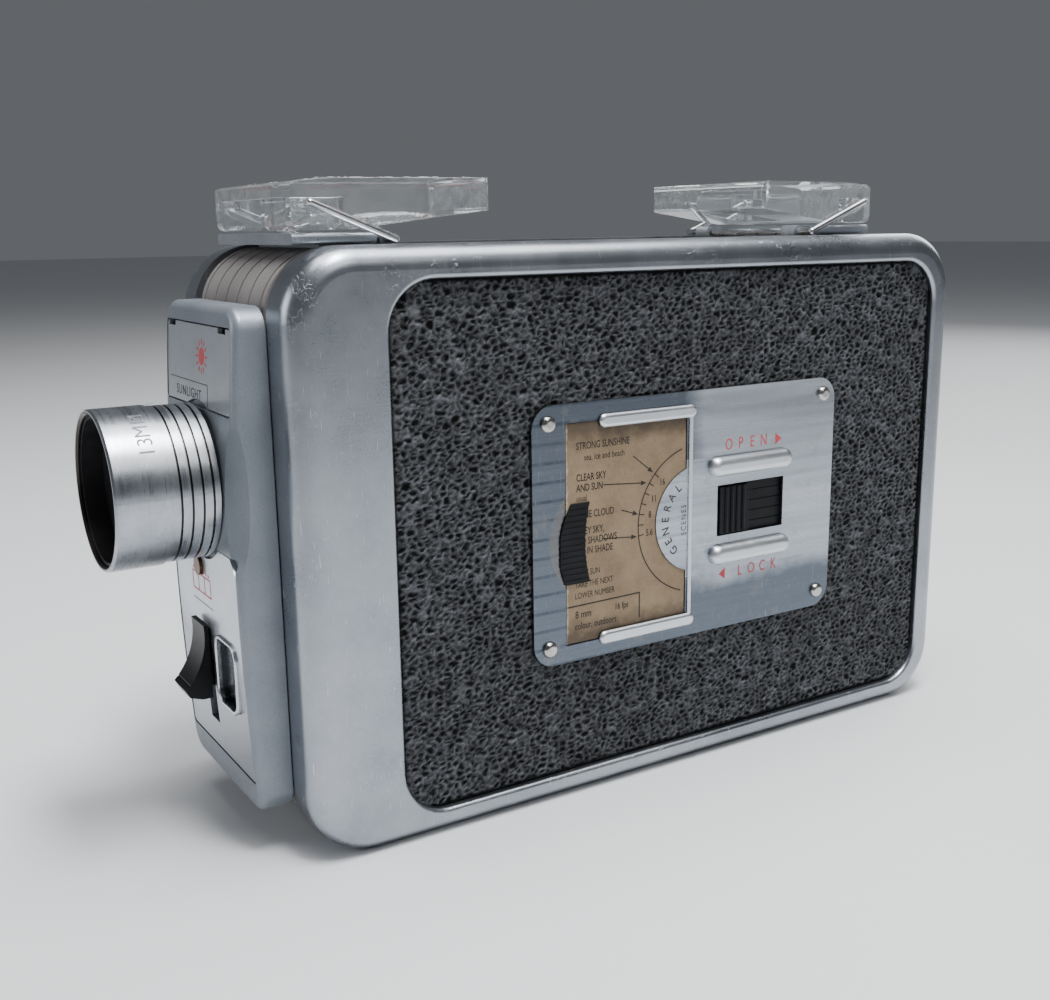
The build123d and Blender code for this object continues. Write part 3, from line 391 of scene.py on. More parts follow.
def front_plate_finish():
    """The front plates' pale satin lacquer over aluminium, darker towards the bottom."""
    s = Surface("front_plate_finish")
    set_constant(s, Metallic=0.75, Coat_Weight=0.35, Coat_Roughness=0.12)
    cloud = s.noise(0.07, 4.0, 0.6)
    fine = s.noise(3.0, 4.0, 0.7)
    lower = s.ramp(s.maths("ADD", s.axis("Z"), s.maths("MULTIPLY", s.axis("X"), 0.12)), 33.0, 39.0)
    pale = s.mix(s.ramp(cloud, 0.3, 0.7), (0.50, 0.54, 0.59), (0.62, 0.655, 0.70))
    base = s.mix(lower, (0.34, 0.365, 0.40), pale)
    spots = s.ramp(s.noise(0.9, 5.0, 0.75), 0.64, 0.80)
    base = s.mix(s.maths("MULTIPLY", spots, 0.4), base, (0.26, 0.26, 0.26))
    s.colour(base)
    s.rough(s.ramp(fine, 0.3, 0.7, 0.26, 0.36))
    s.bump(fine, 0.004)
    return s.material


def thumb_recess_finish():
    """Polished rim round a dark, worn recess."""
    s = Surface("thumb_recess_finish")
    set_constant(s, Metallic=1.0)
    deep = s.ramp(s.axis("Y"), -86.75, -86.35)
    cloud = s.noise(0.3, 4.0, 0.7)
    rim = s.mix(s.ramp(cloud, 0.3, 0.7), (0.48, 0.50, 0.53), (0.64, 0.66, 0.69))
    floor = s.mix(s.ramp(cloud, 0.3, 0.7), (0.06, 0.066, 0.075), (0.12, 0.128, 0.14))
    s.colour(s.mix(deep, rim, floor))
    s.rough(s.ramp(cloud, 0.3, 0.7, 0.18, 0.32))
    s.bump(s.noise(4.0), 0.005)
    return s.material


def turned_aluminium():
    """Lathe-cut rings run round the lens axis, with patches of dirt; the grooves, inside 13.9 mm radius, are
    coloured near-black.
    """
    s = Surface("turned_aluminium")
    set_constant(s, Metallic=1.0)
    rings = s.noise(1.0, 2.0, 0.6, s.stretch(s.mm, (0.004, 1.6, 0.004)))
    cloud = s.noise(0.16, 4.0, 0.65)
    dirt = s.ramp(s.noise(1.2, 5.0, 0.75), 0.60, 0.74)
    base = s.mix(s.ramp(cloud, 0.3, 0.7), (0.30, 0.325, 0.355), (0.44, 0.465, 0.50))
    base = s.mix(s.maths("MULTIPLY", dirt, 0.25), base, (0.22, 0.21, 0.19))
    rise = s.maths("SUBTRACT", s.axis("Z"), LENS_Z)
    radius = s.maths("SQRT", s.maths("ADD", s.maths("POWER", s.axis("X"), 2.0), s.maths("POWER", rise, 2.0)))
    base = s.mix(s.ramp(radius, 13.85, 13.98), (0.05, 0.045, 0.04), base)
    s.colour(base)
    s.rough(s.ramp(s.maths("ADD", rings, s.maths("MULTIPLY", cloud, 0.5)), 0.5, 1.0, 0.22, 0.34))
    s.bump(rings, 0.002)
    return s.material


def plain_metal(name, dark, light, roughness, grain=0.006):
    s = Surface(name)
    set_constant(s, Metallic=1.0)
    cloud = s.noise(0.25, 4.0, 0.65)
    fine = s.noise(4.0, 3.0, 0.7)
    base = s.mix(s.ramp(cloud, 0.3, 0.7), dark, light)
    dull = s.ramp(s.noise(0.7, 4.0, 0.7), 0.58, 0.78)
    base = s.mix(s.maths("MULTIPLY", dull, 0.3), base, tuple(c * 0.5 for c in dark))
    s.colour(base)
    mottle = s.maths("ADD", cloud, s.maths("MULTIPLY", fine, 0.5))
    s.rough(s.ramp(mottle, 0.5, 1.0, roughness - 0.05, roughness + 0.1))
    s.bump(fine, grain)
    return s.material


def black_finish(name, tone, roughness, grain):
    s = Surface(name)
    fine = s.noise(6.0, 3.0, 0.7)
    dust = s.ramp(s.noise(1.4, 6.0, 0.8), 0.62, 0.86)
    base = s.mix(s.ramp(s.noise(0.4), 0.3, 0.7), tone, tuple(c * 1.8 for c in tone))
    s.colour(s.mix(s.maths("MULTIPLY", dust, 0.16), base, (0.20, 0.20, 0.20)))
    set_constant(s, Specular_IOR_Level=0.16)
    s.rough(s.ramp(fine, 0.3, 0.7, roughness - 0.06, roughness + 0.08))
    s.bump(fine, grain)
    return s.material


def optical_glass():
    s = Surface("optical_glass")
    smear = s.ramp(s.noise(0.5, 4.0, 0.7), 0.5, 0.8)
    s.colour(s.mix(smear, (0.93, 0.96, 1.0), (0.86, 0.90, 0.94)))
    s.rough(s.ramp(smear, 0.0, 1.0, 0.01, 0.06))
    set_constant(s, Transmission_Weight=1.0, IOR=1.52, Coat_Weight=0.4)
    s.shader.inputs["Coat Tint"].default_value = (0.75, 0.72, 1.0, 1)
    return s.material


def clear_plastic():
    """Clear moulded acrylic, lightly scuffed, with a film of dust on its upward faces."""
    s = Surface("clear_plastic")
    scuff = s.ramp(s.noise(2.2, 6.0, 0.8), 0.56, 0.80)
    hair = s.scratches(s.warp(2.0, 0.1), 0.74)
    upward = s.upward(0.80, 0.99)
    dust = s.maths("MULTIPLY", upward, s.ramp(s.noise(2.6, 5.0, 0.8), 0.50, 0.72))
    s.colour(s.mix(dust, (0.94, 0.975, 0.985), (0.82, 0.84, 0.86)))
    marks = s.maths("ADD", s.maths("MULTIPLY", scuff, 0.03), s.maths("MULTIPLY", hair, 0.08))
    s.rough(s.maths("ADD", marks, s.maths("MULTIPLY", dust, 0.35)))
    haze = s.ramp(s.noise(0.5, 4.0, 0.7), 0.35, 0.7, 0.97, 0.87)
    clear = s.maths("MULTIPLY", haze, s.ramp(dust, 0.0, 1.0, 1.0, 0.55))
    s.feed(s.shader.inputs["Transmission Weight"], clear)
    set_constant(s, IOR=1.49)
    s.bump(s.noise(0.25, 1.0), 0.03, 0.4)
    return s.material


def aged_card():
    s = Surface("aged_card")
    fibre = s.noise(3.2, 6.0, 0.75)
    blotch = s.noise(0.16, 5.0, 0.65)
    foxing = s.ramp(s.noise(0.9, 4.0, 0.7), 0.60, 0.75)
    base = s.mix(s.ramp(blotch, 0.3, 0.72), (0.165, 0.110, 0.060), (0.290, 0.210, 0.125))
    base = s.mix(s.maths("MULTIPLY", s.ramp(fibre, 0.4, 0.7), 0.4), base, (0.36, 0.275, 0.175))
    base = s.mix(s.maths("MULTIPLY", foxing, 0.45), base, (0.15, 0.095, 0.05))
    reach = s.maths("ABSOLUTE", s.maths("SUBTRACT", s.axis("Z"), 53.0))
    reach = s.maths("ADD", reach, s.maths("MULTIPLY", s.noise(0.35, 4.0, 0.7), 5.0))
    base = s.mix(s.ramp(reach, 19.0, 22.6, 0.0, 0.85), base, (0.060, 0.040, 0.024))
    ragged = s.maths("ADD", s.axis("Y"), s.maths("MULTIPLY", s.noise(0.8, 4.0, 0.7), 1.6))
    torn = s.ramp(ragged, -25.2, -24.7, 1.0, 0.0)
    base = s.mix(s.maths("MULTIPLY", torn, 0.7), base, (0.62, 0.53, 0.40))
    s.colour(base)
    s.rough(s.ramp(fibre, 0.3, 0.7, 0.55, 0.75))
    s.bump(fibre, 0.03)
    return s.material


def printed(name, tone, worn, roughness=0.5):
    """Printing ink, thin and broken up by wear."""
    s = Surface(name)
    break_up = s.ramp(s.noise(4.0, 4.0, 0.75), 0.52, 0.68)
    s.colour(s.mix(break_up, tone, worn))
    s.rough(s.ramp(break_up, 0.0, 1.0, roughness, roughness + 0.15))
    s.bump(s.noise(6.0), 0.004)
    return s.material


def brass():
    s = Surface("gear_brass")
    set_constant(s, Metallic=1.0)
    cloud = s.noise(0.3, 4.0, 0.7)
    base = s.mix(s.ramp(cloud, 0.3, 0.7), (0.55, 0.40, 0.17), (0.80, 0.62, 0.30))
    s.colour(s.mix(s.ramp(s.noise(1.0, 5.0, 0.7), 0.60, 0.8, 0.0, 0.6), base, (0.20, 0.13, 0.06)))
    s.rough(s.ramp(cloud, 0.3, 0.7, 0.2, 0.36))
    s.bump(s.noise(5.0), 0.006)
    return s.material


MATERIALS = {
    "satin_aluminium": satin_aluminium(),
    "leatherette": leatherette(),
    "band_paint": painted("band_paint", (0.175, 0.160, 0.155), (0.225, 0.207, 0.200), 0.35, 0.42),
    "housing_paint": painted("housing_paint", (0.180, 0.203, 0.235), (0.245, 0.270, 0.306), 0.35, 0.38, 0.45),
    "plate_aluminium": plate_aluminium(),
    "turned_aluminium": turned_aluminium(),
    "black_paint": black_finish("black_paint", (0.008, 0.008, 0.009), 0.55, 0.01),
    "optical_glass": optical_glass(),
    "clear_plastic": clear_plastic(),
    "black_plastic": black_finish("black_plastic", (0.0045, 0.005, 0.0065), 0.36, 0.012),
    "aged_card": aged_card(),
    "nickel": plain_metal("nickel", (0.36, 0.355, 0.34), (0.56, 0.555, 0.53), 0.20),
    "spring_steel": plain_metal("spring_steel", (0.48, 0.48, 0.49), (0.66, 0.66, 0.67), 0.22),
    "gear_brass": brass(),
    "plated_sheet": plain_metal("plated_sheet", (0.42, 0.42, 0.41), (0.58, 0.58, 0.57), 0.34),
    "bronzed_steel": plain_metal("bronzed_steel", (0.075, 0.040, 0.022), (0.16, 0.095, 0.055), 0.30),
}
RED_INK = printed("red_ink", (0.52, 0.035, 0.045), (0.55, 0.20, 0.20))
GREY_INK = printed("grey_ink", (0.16, 0.17, 0.19), (0.40, 0.41, 0.43))
BLACK_INK = printed("black_ink", (0.018, 0.017, 0.018), (0.07, 0.06, 0.055))
CARD_INK = printed("card_ink", (0.012, 0.009, 0.008), (0.05, 0.035, 0.024), 0.65)


SPECIAL_FINISHES = {
    "upper_front_plate": front_plate_finish(),
    "lower_front_plate": front_plate_finish(),
    "thumb_bezel": thumb_recess_finish(),
    "front_finder_base": painted("base_plate", (0.36, 0.39, 0.425), (0.45, 0.48, 0.515), 0.12, 0.30, 0.7),
    "rear_finder_base": painted("rear_base_plate", (0.36, 0.39, 0.425), (0.45, 0.48, 0.515), 0.12, 0.30, 0.7),
}


def dress_nodes():
    for part in frame["record"]["subparts"]:
        node = part["node"]
        finish = SPECIAL_FINISHES.get(node, MATERIALS[part["material_slot"]])
        target = nodes[node]
        target.data.materials.clear()
        target.data.materials.append(finish)


dress_nodes()


# ---- piece helpers -------------------------------------------------------------------------------
def add_piece(name, points, faces, material, body):
    """A new mesh piece from points in millimetres."""
    mesh = bpy.data.meshes.new(name)
    mesh.from_pydata([tuple(Vector(p) * MM) for p in points], [], faces)
    mesh.update()
    piece = bpy.data.objects.new(name, mesh)
    bpy.context.scene.collection.objects.link(piece)
    mesh.materials.append(material)
    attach(piece, body)
    return piece


def ring_point(centre, radius, turn):
    return (centre[0] + radius * cos(turn), centre[1] + radius * sin(turn))


CAPITAL_SHARE = 0.60  # a capital's height over the font size
INK_THICKNESS = 0.02


class Sheet:
    """Flat outlines gathered into one thin piece on a plane: right, up and out are unit vectors."""

    def __init__(self, origin, right, up):
        self.origin, self.right, self.up = Vector(origin), Vector(right), Vector(up)
        self.out = self.right.cross(self.up)
        self.points = []
        self.faces = []

    def place(self, a, b, lift):
        return self.origin + self.right * a + self.up * b + self.out * lift

    def prism(self, outline):
        """A convex outline given anticlockwise."""
        first = len(self.points)
        count = len(outline)
        for lift in (0.0, INK_THICKNESS):
            self.points += [self.place(a, b, lift) for a, b in outline]
        self.faces.append([first + count + i for i in range(count)])
        self.faces.append([first + count - 1 - i for i in range(count)])
        for i in range(count):
            j = (i + 1) % count
            self.faces.append([first + i, first + j, first + count + j, first + count + i])

    def line(self, a, b, width):
        along = Vector((b[0] - a[0], b[1] - a[1])).normalized() * width / 2
        side = Vector((-along.y, along.x))
        a, b = Vector(a), Vector(b)
        self.prism([a - side, b - side, b + side, a + side])

    def arc(self, centre, radius, start, end, width, steps=40):
        for i in range(steps):
            angles = [start + (end - start) * (i + k) / steps for k in (0, 1)]
            inner = [ring_point(centre, radius - width / 2, t) for t in angles]
            outer = [ring_point(centre, radius + width / 2, t) for t in angles]
            self.prism([inner[0], outer[0], outer[1], inner[1]])

    def arrow(self, a, b, width, head):
        run = Vector((b[0] - a[0], b[1] - a[1]))
        step = run.normalized()
        side = Vector((-step.y, step.x)) * head * 0.36
        neck = Vector(b) - step * head
        self.line(a, neck, width)
        self.prism([neck - side, Vector(b), neck + side])

    def disc(self, centre, radius, count=32):
        self.prism([ring_point(centre, radius, 2 * pi * i / count) for i in range(count)])

    def text(self, words, at, height, turn=0.0, width=1.0, anchor="LEFT", weight=0.0, spacing=1.0):
        """Lettering with its baseline starting at (or centred on) a point; height is a capital's."""
        curve = bpy.data.curves.new("letters", "FONT")
        curve.body = words
        curve.size = height / CAPITAL_SHARE
        curve.align_x = anchor
        curve.offset = weight
        curve.space_character = spacing
        curve.extrude = INK_THICKNESS / 2
        curve.resolution_u = 3
        holder = bpy.data.objects.new("letters", curve)
        bpy.context.scene.collection.objects.link(holder)
        bpy.context.view_layer.update()
        mesh = bpy.data.meshes.new_from_object(holder.evaluated_get(bpy.context.evaluated_depsgraph_get()))
        first = len(self.points)
        for v in mesh.vertices:
            x, y = v.co.x * width, v.co.y
            a = at[0] + x * cos(turn) - y * sin(turn)
            b = at[1] + x * sin(turn) + y * cos(turn)
            self.points.append(self.place(a, b, v.co.z + INK_THICKNESS / 2))
        self.faces += [[first + i for i in p.vertices] for p in mesh.polygons]
        bpy.data.objects.remove(holder)
        bpy.data.curves.remove(curve)
        bpy.data.meshes.remove(mesh)

    def finish(self, name, material, body):
        return add_piece(name, self.points, self.faces, material, body)


def box_mm(node):
    low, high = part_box(node)
    return low / MM, high / MM


plate_low, plate_high = box_mm("info_plate")
CARD_FACE = box_mm("guide_card")[1].x
FACE_UP = 0.01


# ---- leather relief ------------------------------------------------------------------------------
FIELD_SPAN = 260
CELL_GRID = 420
LEATHER_CORNER = 8.95
KEY_HOLE = (4.0, 54.0, 12.2)
COUNTER_HOLE = (62.0, 50.0, 7.02)


def smooth_field(y, z, pitch, rng):
    """Smoothly varying random values, one knot every pitch millimetres."""
    knots = rng.random((int(FIELD_SPAN / pitch), int(FIELD_SPAN / pitch)))
    gy, gz = (y + 100) / pitch, (z + 20) / pitch
    iy, iz = np.floor(gy).astype(int), np.floor(gz).astype(int)
    ty, tz = gy - iy, gz - iz
    ty, tz = ty * ty * (3 - 2 * ty), tz * tz * (3 - 2 * tz)
    low = knots[iy, iz] * (1 - ty) + knots[iy + 1, iz] * ty
    high = knots[iy, iz + 1] * (1 - ty) + knots[iy + 1, iz + 1] * ty
    return low * (1 - tz) + high * tz


def cell_walls(u, v, width, rng):
    """1 on the walls between scattered cells of unit size, falling to 0 inside them."""
    shift = rng.random((CELL_GRID, CELL_GRID, 2))
    iu, iv = np.floor(u).astype(int), np.floor(v).astype(int)
    nearest = np.full(u.shape, 9.0)
    second = np.full(u.shape, 9.0)
    for du in (-1, 0, 1):
        for dv in (-1, 0, 1):
            jitter = shift[(iu + du) % CELL_GRID, (iv + dv) % CELL_GRID]
            distance = np.hypot(iu + du + jitter[..., 0] - u, iv + dv + jitter[..., 1] - v)
            second = np.minimum(second, np.maximum(nearest, distance))
            nearest = np.minimum(nearest, distance)
    return np.clip(1 - (second - nearest) / width, 0, 1) ** 1.3


def wrinkle_height(y, z, rng):
    """Relief from 0 in the pits to 1 on the crests."""
    wy = y + 0.8 * (smooth_field(y, z, 1.5, rng) - 0.5)
    wz = z + 0.9 * (smooth_field(y, z, 1.2, rng) - 0.5)
    coarse = cell_walls(wy / 1.7, wz / 1.0, 0.80, rng)
    fine = cell_walls(wy / 1.05 + 7.3, wz / 0.68 + 2.1, 0.8, rng)
    broken = 0.7 + 0.3 * smooth_field(y, z, 2.2, rng)
    body = smooth_field(y, z, 1.1, rng)
    return np.clip(0.74 * coarse * broken + 0.24 * fine + 0.10 * body, 0, 1)


def push_to_outline(y, z, low, high, corner):
    """Moves points outside a rounded rectangle on to its outline; returns which ones were outside."""
    cy = np.clip(y, low.y + corner, high.y - corner)
    cz = np.clip(z, low.z + corner, high.z - corner)
    away = np.hypot(y - cy, z - cz)
    outside = away > corner
    scale = np.where(outside, corner / np.maximum(away, 1e-6), 1.0)
    return cy + (y - cy) * scale, cz + (z - cz) * scale, outside


def leather_relief(node, name, body, side, hidden, holes, seed, pitch):
    """An open sheet of modelled wrinkles, in place of the plain CAD panel.

    hidden is a rectangle left out because a plate covers it; holes are (y, z, radius).
    """
    low, high = box_mm(node)
    rng = np.random.default_rng(seed)
    ys = np.arange(low.y, high.y + pitch, pitch)
    zs = np.arange(low.z, high.z + pitch, pitch)
    y, z = np.meshgrid(ys, zs, indexing="ij")
    y, z, outside = push_to_outline(y, z, low, high, LEATHER_CORNER)
    gone = outside.copy()
    for hy, hz, radius in holes:
        away = np.hypot(y - hy, z - hz)
        inside = away < radius
        scale = np.where(inside, radius / np.maximum(away, 1e-6), 1.0)
        y, z = hy + (y - hy) * scale, hz + (z - hz) * scale
        gone |= inside
    height = wrinkle_height(y, z, rng)
    rim = np.minimum(np.minimum(y - low.y, high.y - y), np.minimum(z - low.z, high.z - z))
    height *= np.clip(rim / 0.8, 0.25, 1.0)
    x = side * (LEATHER_TOP - 0.03 - LEATHER_RELIEF * (1 - height))
    rows, columns = y.shape
    index = np.arange(rows * columns).reshape(rows, columns)
    quads = np.stack([index[:-1, :-1], index[1:, :-1], index[1:, 1:], index[:-1, 1:]], -1).reshape(-1, 4)
    if side < 0:
        quads = quads[:, ::-1]
    flat_y, flat_z, lost = y.ravel(), z.ravel(), gone.ravel()
    keep = ~lost[quads].all(axis=1)
    if hidden:
        my, mz = flat_y[quads].mean(axis=1), flat_z[quads].mean(axis=1)
        keep &= ~((my > hidden[0]) & (my < hidden[1]) & (mz > hidden[2]) & (mz < hidden[3]))
    quads = quads[keep]
    used, renumbered = np.unique(quads, return_inverse=True)
    points = np.stack([x.ravel(), flat_y, flat_z], -1)[used] * MM
    mesh = bpy.data.meshes.new(name)
    mesh.from_pydata(points.tolist(), [], renumbered.reshape(-1, 4).tolist())
    mesh.update()
    mesh.shade_smooth()
    mesh.materials.append(MATERIALS["leatherette"])
    piece = bpy.data.objects.new(name, mesh)
    bpy.context.scene.collection.objects.link(piece)
    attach(piece, body)
    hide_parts(node)
    clean = bmesh.new()
    clean.from_mesh(mesh)
    bmesh.ops.dissolve_degenerate(clean, dist=1e-6, edges=clean.edges[:])
    clean.to_mesh(mesh)
    clean.free()


PLATE_INSET = 1.2
plate_cover = (plate_low.y + PLATE_INSET, plate_high.y - PLATE_INSET,
               plate_low.z + PLATE_INSET, plate_high.z - PLATE_INSET)
leather_relief("cover_leather", "cover_leather_grain", "film_door", 1, plate_cover, [], 5, 0.32)
leather_relief("winding_side_leather", "winding_side_leather_grain", "camera_body", -1, None,
               [KEY_HOLE, COUNTER_HOLE], 9, 0.45)


# ---- printing on the exposure card ---------------------------------------------------------------
DIAL_ARC_R = 15.3


def print_card():
    ink = Sheet((CARD_FACE + FACE_UP, 0, 0), Y_AXIS, Z_AXIS)
    ink.text("STRONG SUNSHINE", (-23.6, 69.7), 1.2, width=0.70, weight=0.02)
    ink.text("sea, ice and beach", (-21.8, 67.5), 1.1, width=0.72)
    ink.text("CLEAR SKY", (-23.6, 63.6), 1.2, width=0.70, weight=0.02)
    ink.text("AND SUN", (-23.6, 61.6), 1.2, width=0.70, weight=0.02)
    ink.text("usual", (-23.6, 59.7), 1.05, width=0.70)
    ink.text("SOME CLOUD", (-23.6, 56.3), 1.2, width=0.70, weight=0.02)
    ink.text("GREY SKY,", (-23.6, 53.1), 1.2, width=0.70, weight=0.02)
    ink.text("NO SHADOWS", (-23.6, 51.1), 1.2, width=0.70, weight=0.02)
    ink.text("OR IN SHADE", (-23.6, 49.1), 1.2, width=0.70, weight=0.02)
    ink.text("LOW SUN", (-23.7, 44.9), 1.05, width=0.70)
    ink.text("TAKE THE NEXT", (-24.0, 42.6), 1.05, width=0.70)
    ink.text("LOWER NUMBER", (-24.0, 40.4), 1.05, width=0.70)
    ink.line((-25.8, 39.0), (-8.5, 39.2), 0.28)
    ink.line((-8.5, 39.3), (-8.5, 34.0), 0.28)
    ink.text("8 mm", (-24.0, 36.5), 1.25, width=0.80, weight=0.02)
    ink.text("16 fps", (-14.6, 36.7), 1.15, width=0.72, weight=0.02)
    ink.text("colour, outdoors", (-24.1, 34.2), 1.2, width=0.72, weight=0.02)
    low, high = radians(107), radians(253)
    ink.arc(DIAL_CENTRE, DIAL_ARC_R, low, high, 0.24)
    for i in range(7):
        turn = radians(137.3 + 8.2 * i)
        ink.line(ring_point(DIAL_CENTRE, DIAL_ARC_R, turn),
                 ring_point(DIAL_CENTRE, DIAL_ARC_R - 1.3, turn), 0.2)
    ink.arrow((-10.2, 67.1), (-5.3, 63.3), 0.2, 1.4)
    ink.arrow((-17.4, 62.3), (-6.9, 61.4), 0.2, 1.4)
    ink.arrow((-13.0, 56.7), (-8.9, 55.3), 0.2, 1.4)
    ink.arrow((-17.5, 51.6), (-9.2, 50.8), 0.2, 1.4)
    for words, turn in (("16", 138), ("11", 155), ("8", 170), ("5.6", 186.5)):
        at = ring_point(DIAL_CENTRE, DIAL_ARC_R - 2.7, radians(turn))
        ink.text(words, (at[0], at[1] - 0.55), 1.15, width=0.72, anchor="CENTER", weight=0.02)
    ink.finish("card_printing", CARD_INK, "film_door")


def print_tongue():
    """Words round the half-disc that the card slides under."""
    ink = Sheet((PLATE_FACE + FACE_UP, 0, 0), Y_AXIS, Z_AXIS)
    for i, letter in enumerate("GENERAL"):
        turn = radians(222.5 - i * 15.6)
        at = ring_point(DIAL_CENTRE, 7.9, turn)
        ink.text(letter, at, 1.5, width=0.9, turn=turn - pi / 2, anchor="CENTER", weight=0.03)
    ink.text("SCENES", (2.95, 49.4), 1.05, turn=pi / 2, width=0.88, spacing=1.3)
    ink.finish("tongue_printing", BLACK_INK, "film_door")


def print_plate():
    ink = Sheet((PLATE_FACE + FACE_UP, 0, 0), Y_AXIS, Z_AXIS)
    for i, letter in enumerate("OPEN"):
        ink.text(letter, (14.0 + i * 3.15, 65.8), 2.05, width=0.75, anchor="CENTER")
    for i, letter in enumerate("LOCK"):
        ink.text(letter, (17.7 + i * 3.15, 38.6), 2.05, width=0.75, anchor="CENTER")
    ink.prism([(26.7, 65.6), (28.5, 66.8), (26.7, 68.0)])
    ink.prism([(13.6, 38.5), (13.6, 40.9), (11.9, 39.7)])
    ink.finish("plate_lettering", RED_INK, "film_door")


print_card()
print_tongue()
print_plate()


# ---- printing on the front plates ----------------------------------------------------------------
HOUSING_CROWN_R = 520.0
HOUSING_FACE_Y = -87.2
PLATE_SET_BACK = 0.15
FRONT_CROWN_R = HOUSING_CROWN_R - PLATE_SET_BACK
FRONT_CROWN_Y = HOUSING_FACE_Y + HOUSING_CROWN_R
FRONT_CROWN_Z = 50.0


def bend_to_crown(piece):
    """Lays printing made flat at the front on to the crowned face of the front plates."""
    for v in piece.data.vertices:
        z = v.co.z / MM - FRONT_CROWN_Z
        face = FRONT_CROWN_Y - sqrt(FRONT_CROWN_R ** 2 - z ** 2)
        v.co.y += (face - FACE_UP) * MM


def front_sheet():
    return Sheet((0, 0, 0), X_AXIS, Z_AXIS)


def film_strip(ink, middle):
    """A plain strip-of-film symbol: two edges, three frames and a row of holes."""
    half_long, half_tall = 5.2, 1.7
    for rise in (-half_tall, half_tall):
        ink.line((middle[0] - half_long, middle[1] + rise), (middle[0] + half_long, middle[1] + rise), 0.3)
    for i in range(4):
        run = middle[0] + half_long * (2 * i / 3 - 1)
        ink.line((run, middle[1] - half_tall - 0.15), (run, middle[1] + half_tall + 0.15), 0.3)
    for i in range(7):
        run = middle[0] + half_long * (2 * (i + 0.5) / 7 - 1)
        ink.line((run - 0.28, middle[1] + half_tall + 0.75), (run + 0.28, middle[1] + half_tall + 0.75), 0.5)


def print_front():
    ink = front_sheet()
    ink.text("SUNLIGHT", (-12.4, 81.5), 1.55, width=1.05, spacing=1.2)
    ink.line((-16.0, 84.5), (6.0, 84.5), 0.16)
    ink.line((6.0, 84.5), (6.0, 80.6), 0.16)
    bend_to_crown(ink.finish("upper_plate_printing", BLACK_INK, "camera_body"))
    ink = front_sheet()
    ink.line((-8.2, 42.9), (3.4, 42.9), 0.22)
    bend_to_crown(ink.finish("lower_plate_printing", GREY_INK, "camera_body"))
    ink = front_sheet()
    centre = (2.6, 89.3)
    ink.disc(centre, 1.55)
    for i in range(12):
        turn = 2 * pi * i / 12
        ink.line(ring_point(centre, 2.1, turn), ring_point(centre, 3.1, turn), 0.36)
    film_strip(ink, (-2.4, 46.6))
    bend_to_crown(ink.finish("front_symbols", RED_INK, "camera_body"))


print_front()


# ---- markings on the lens barrel -----------------------------------------------------------------
def wrap_barrel(piece, middle_y):
    """Rolls flat printing (x along the rim, z towards the front) round the barrel."""
    for v in piece.data.vertices:
        run, rise, lift = v.co.x / MM, v.co.z / MM, -v.co.y / MM
        turn = run / BARREL_R
        radius = BARREL_R + FACE_UP + lift
        v.co = Vector((radius * cos(turn), middle_y - rise, LENS_Z + radius * sin(turn))) * MM


def print_barrel():
    ink = front_sheet()
    for words, turn in (("1", 34), ("3", 42), ("M", 51), ("M", 64)):
        ink.text(words, (radians(turn) * BARREL_R, 0.0), 2.3, anchor="CENTER", weight=-0.01)
    wrap_barrel(ink.finish("barrel_engraving", GREY_INK, "camera_body"), -97.4)
    ink = front_sheet()
    for i, words in enumerate(("16", "11", "8", "5.6", "4", "2.8")):
        ink.text(words, (radians(96 + i * 13) * BARREL_R, 0.0), 1.15, anchor="CENTER")
    wrap_barrel(ink.finish("aperture_numbers", BLACK_INK, "aperture"), -93.6)


print_barrel()


# ---- finder blocks with softened edges -----------------------------------------------------------
EDGE_ROUND = 0.45


def soften_block(node, name, body):
    """The moulded block with its sharp edges rounded, in place of the plain CAD block."""
    mesh = nodes[node].data.copy()
    mesh.name = name
    work = bmesh.new()
    work.from_mesh(mesh)
    bmesh.ops.remove_doubles(work, verts=work.verts[:], dist=1e-6)
    bmesh.ops.dissolve_limit(work, angle_limit=radians(2.0), verts=work.verts[:], edges=work.edges[:])
    sharp = [e for e in work.edges if e.is_manifold and e.calc_face_angle(0) > radians(35)]
    bmesh.ops.bevel(work, geom=sharp, offset=EDGE_ROUND * MM, segments=3, profile=0.6, affect="EDGES",
                    clamp_overlap=True)
    bmesh.ops.triangulate(work, faces=[f for f in work.faces if len(f.verts) > 4])
    bmesh.ops.dissolve_degenerate(work, dist=1e-6, edges=work.edges[:])
    work.to_mesh(mesh)
    work.free()
    mesh.shade_flat()
    piece = bpy.data.objects.new(name, mesh)
    bpy.context.scene.collection.objects.link(piece)
    piece.matrix_world = nodes[node].matrix_world.copy()
    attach(piece, body)
    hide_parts(node)


soften_block("front_finder", "front_finder_block", "front_sight")
soften_block("rear_finder", "rear_finder_block", "rear_sight")


# ---- finder frame lines and dust -----------------------------------------------------------------
def finder_lines():
    low, high = box_mm("front_finder")
    top = high.z - 1.1
    for name, inset, material in (("outer_frame_line", 4.2, RED_INK), ("inner_frame_line", 6.6, BLACK_INK)):
        ink = Sheet((0, 0, top), X_AXIS, Y_AXIS)
        left, right = low.x + inset, high.x - inset
        near, far = low.y + 10.0 + inset * 0.5, high.y - inset
        for a, b in (((left, near), (right, near)), ((right, near), (right, far)),
                     ((right, far), (left, far)), ((left, far), (left, near))):
            ink.line(a, b, 0.5)
        ink.finish(name, material, "front_sight")


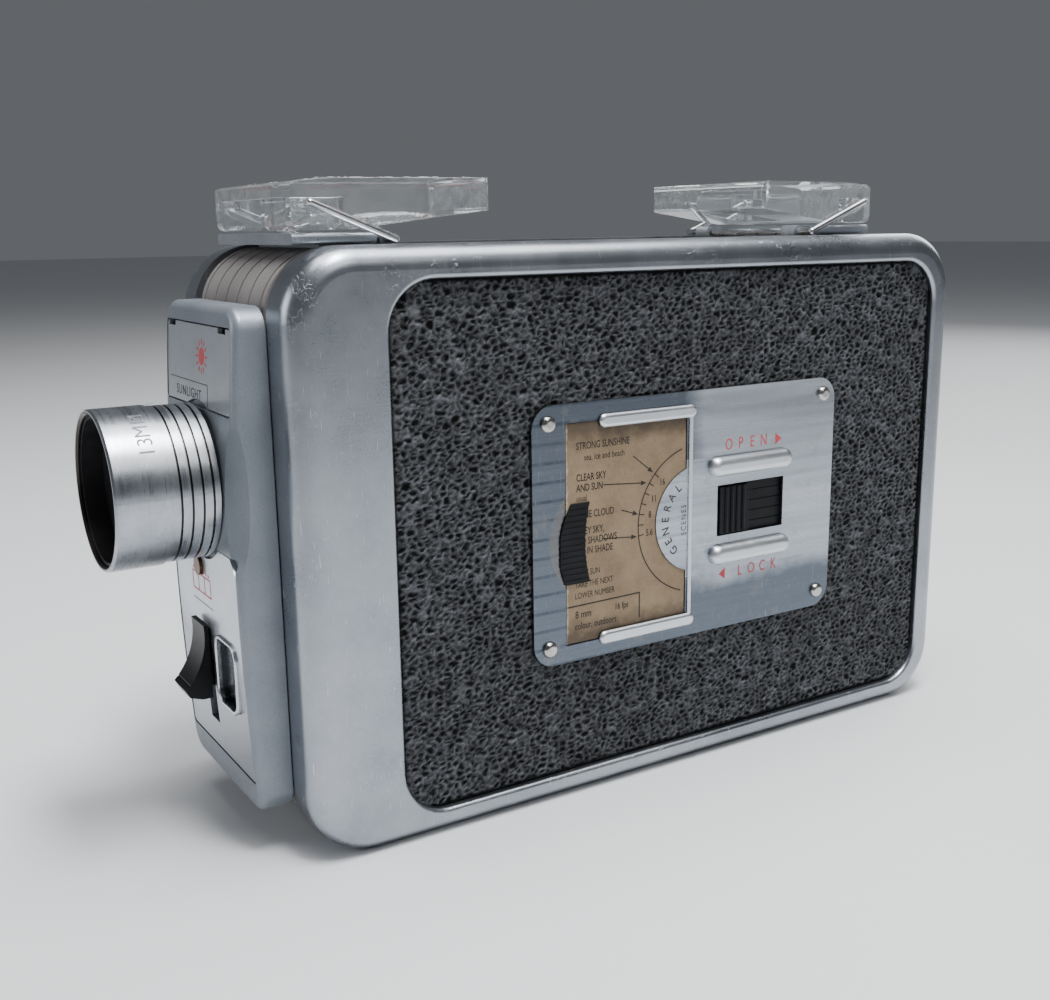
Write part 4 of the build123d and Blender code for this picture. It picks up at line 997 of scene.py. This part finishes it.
FINDER_TOP_Z = 119.4
HINGE_END = 7.0


def finder_dust():
    """Loose fibres and specks lying on the front finder."""
    rng = random.Random(8)
    low, high = box_mm("front_finder")
    points, faces = [], []
    for i in range(320):
        x = rng.uniform(low.x + 0.6, high.x - 0.6)
        y = rng.uniform(low.y + HINGE_END, high.y - 0.8)
        top = FINDER_TOP_Z + 0.2 * (y - low.y - HINGE_END) / (high.y - low.y - HINGE_END)
        turn = rng.uniform(0, 2 * pi)
        length = rng.uniform(0.3, 1.7)
        curl = rng.uniform(-1.4, 1.4)
        lift = rng.uniform(0.02, 0.28)
        place = Vector((x, y, top + 0.02))
        trail = []
        for k in range(6):
            t = k / 5
            trail.append(place + Vector((0, 0, lift * sin(pi * t) + 0.01)))
            place = place + Vector((cos(turn), sin(turn), 0)) * (length / 5)
            turn += curl / 5
        for k in range(5):
            a, b = trail[k], trail[k + 1]
            across = Vector((-(b - a).y, (b - a).x, 0)).normalized() * 0.03
            tall = Vector((0, 0, 0.05))
            first = len(points)
            points += [a - across, a + across, a + tall, b - across, b + across, b + tall]
            faces += [[first, first + 3, first + 4, first + 1], [first + 1, first + 4, first + 5, first + 2],
                      [first + 2, first + 5, first + 3, first]]
    add_piece("finder_lint", points, faces, LINT, "front_sight")


LINT = printed("lint", (0.75, 0.77, 0.80), (0.55, 0.57, 0.60), 0.8)
finder_lines()
finder_dust()


# ---- floor ---------------------------------------------------------------------------------------
FLOOR_HALF = 6.0  # metres


def make_floor():
    s = Surface("floor")
    s.colour(s.mix(s.noise(0.01, 3.0), (0.70, 0.71, 0.72), (0.74, 0.75, 0.76)))
    s.rough(0.75)
    mesh = bpy.data.meshes.new("floor")
    low = cad_box[0].z
    corners = [(x * FLOOR_HALF, y * FLOOR_HALF, low) for x, y in ((-1, -1), (1, -1), (1, 1), (-1, 1))]
    mesh.from_pydata(corners, [], [(0, 1, 2, 3)])
    mesh.materials.append(s.material)
    floor = bpy.data.objects.new("floor", mesh)
    bpy.context.scene.collection.objects.link(floor)


make_floor()
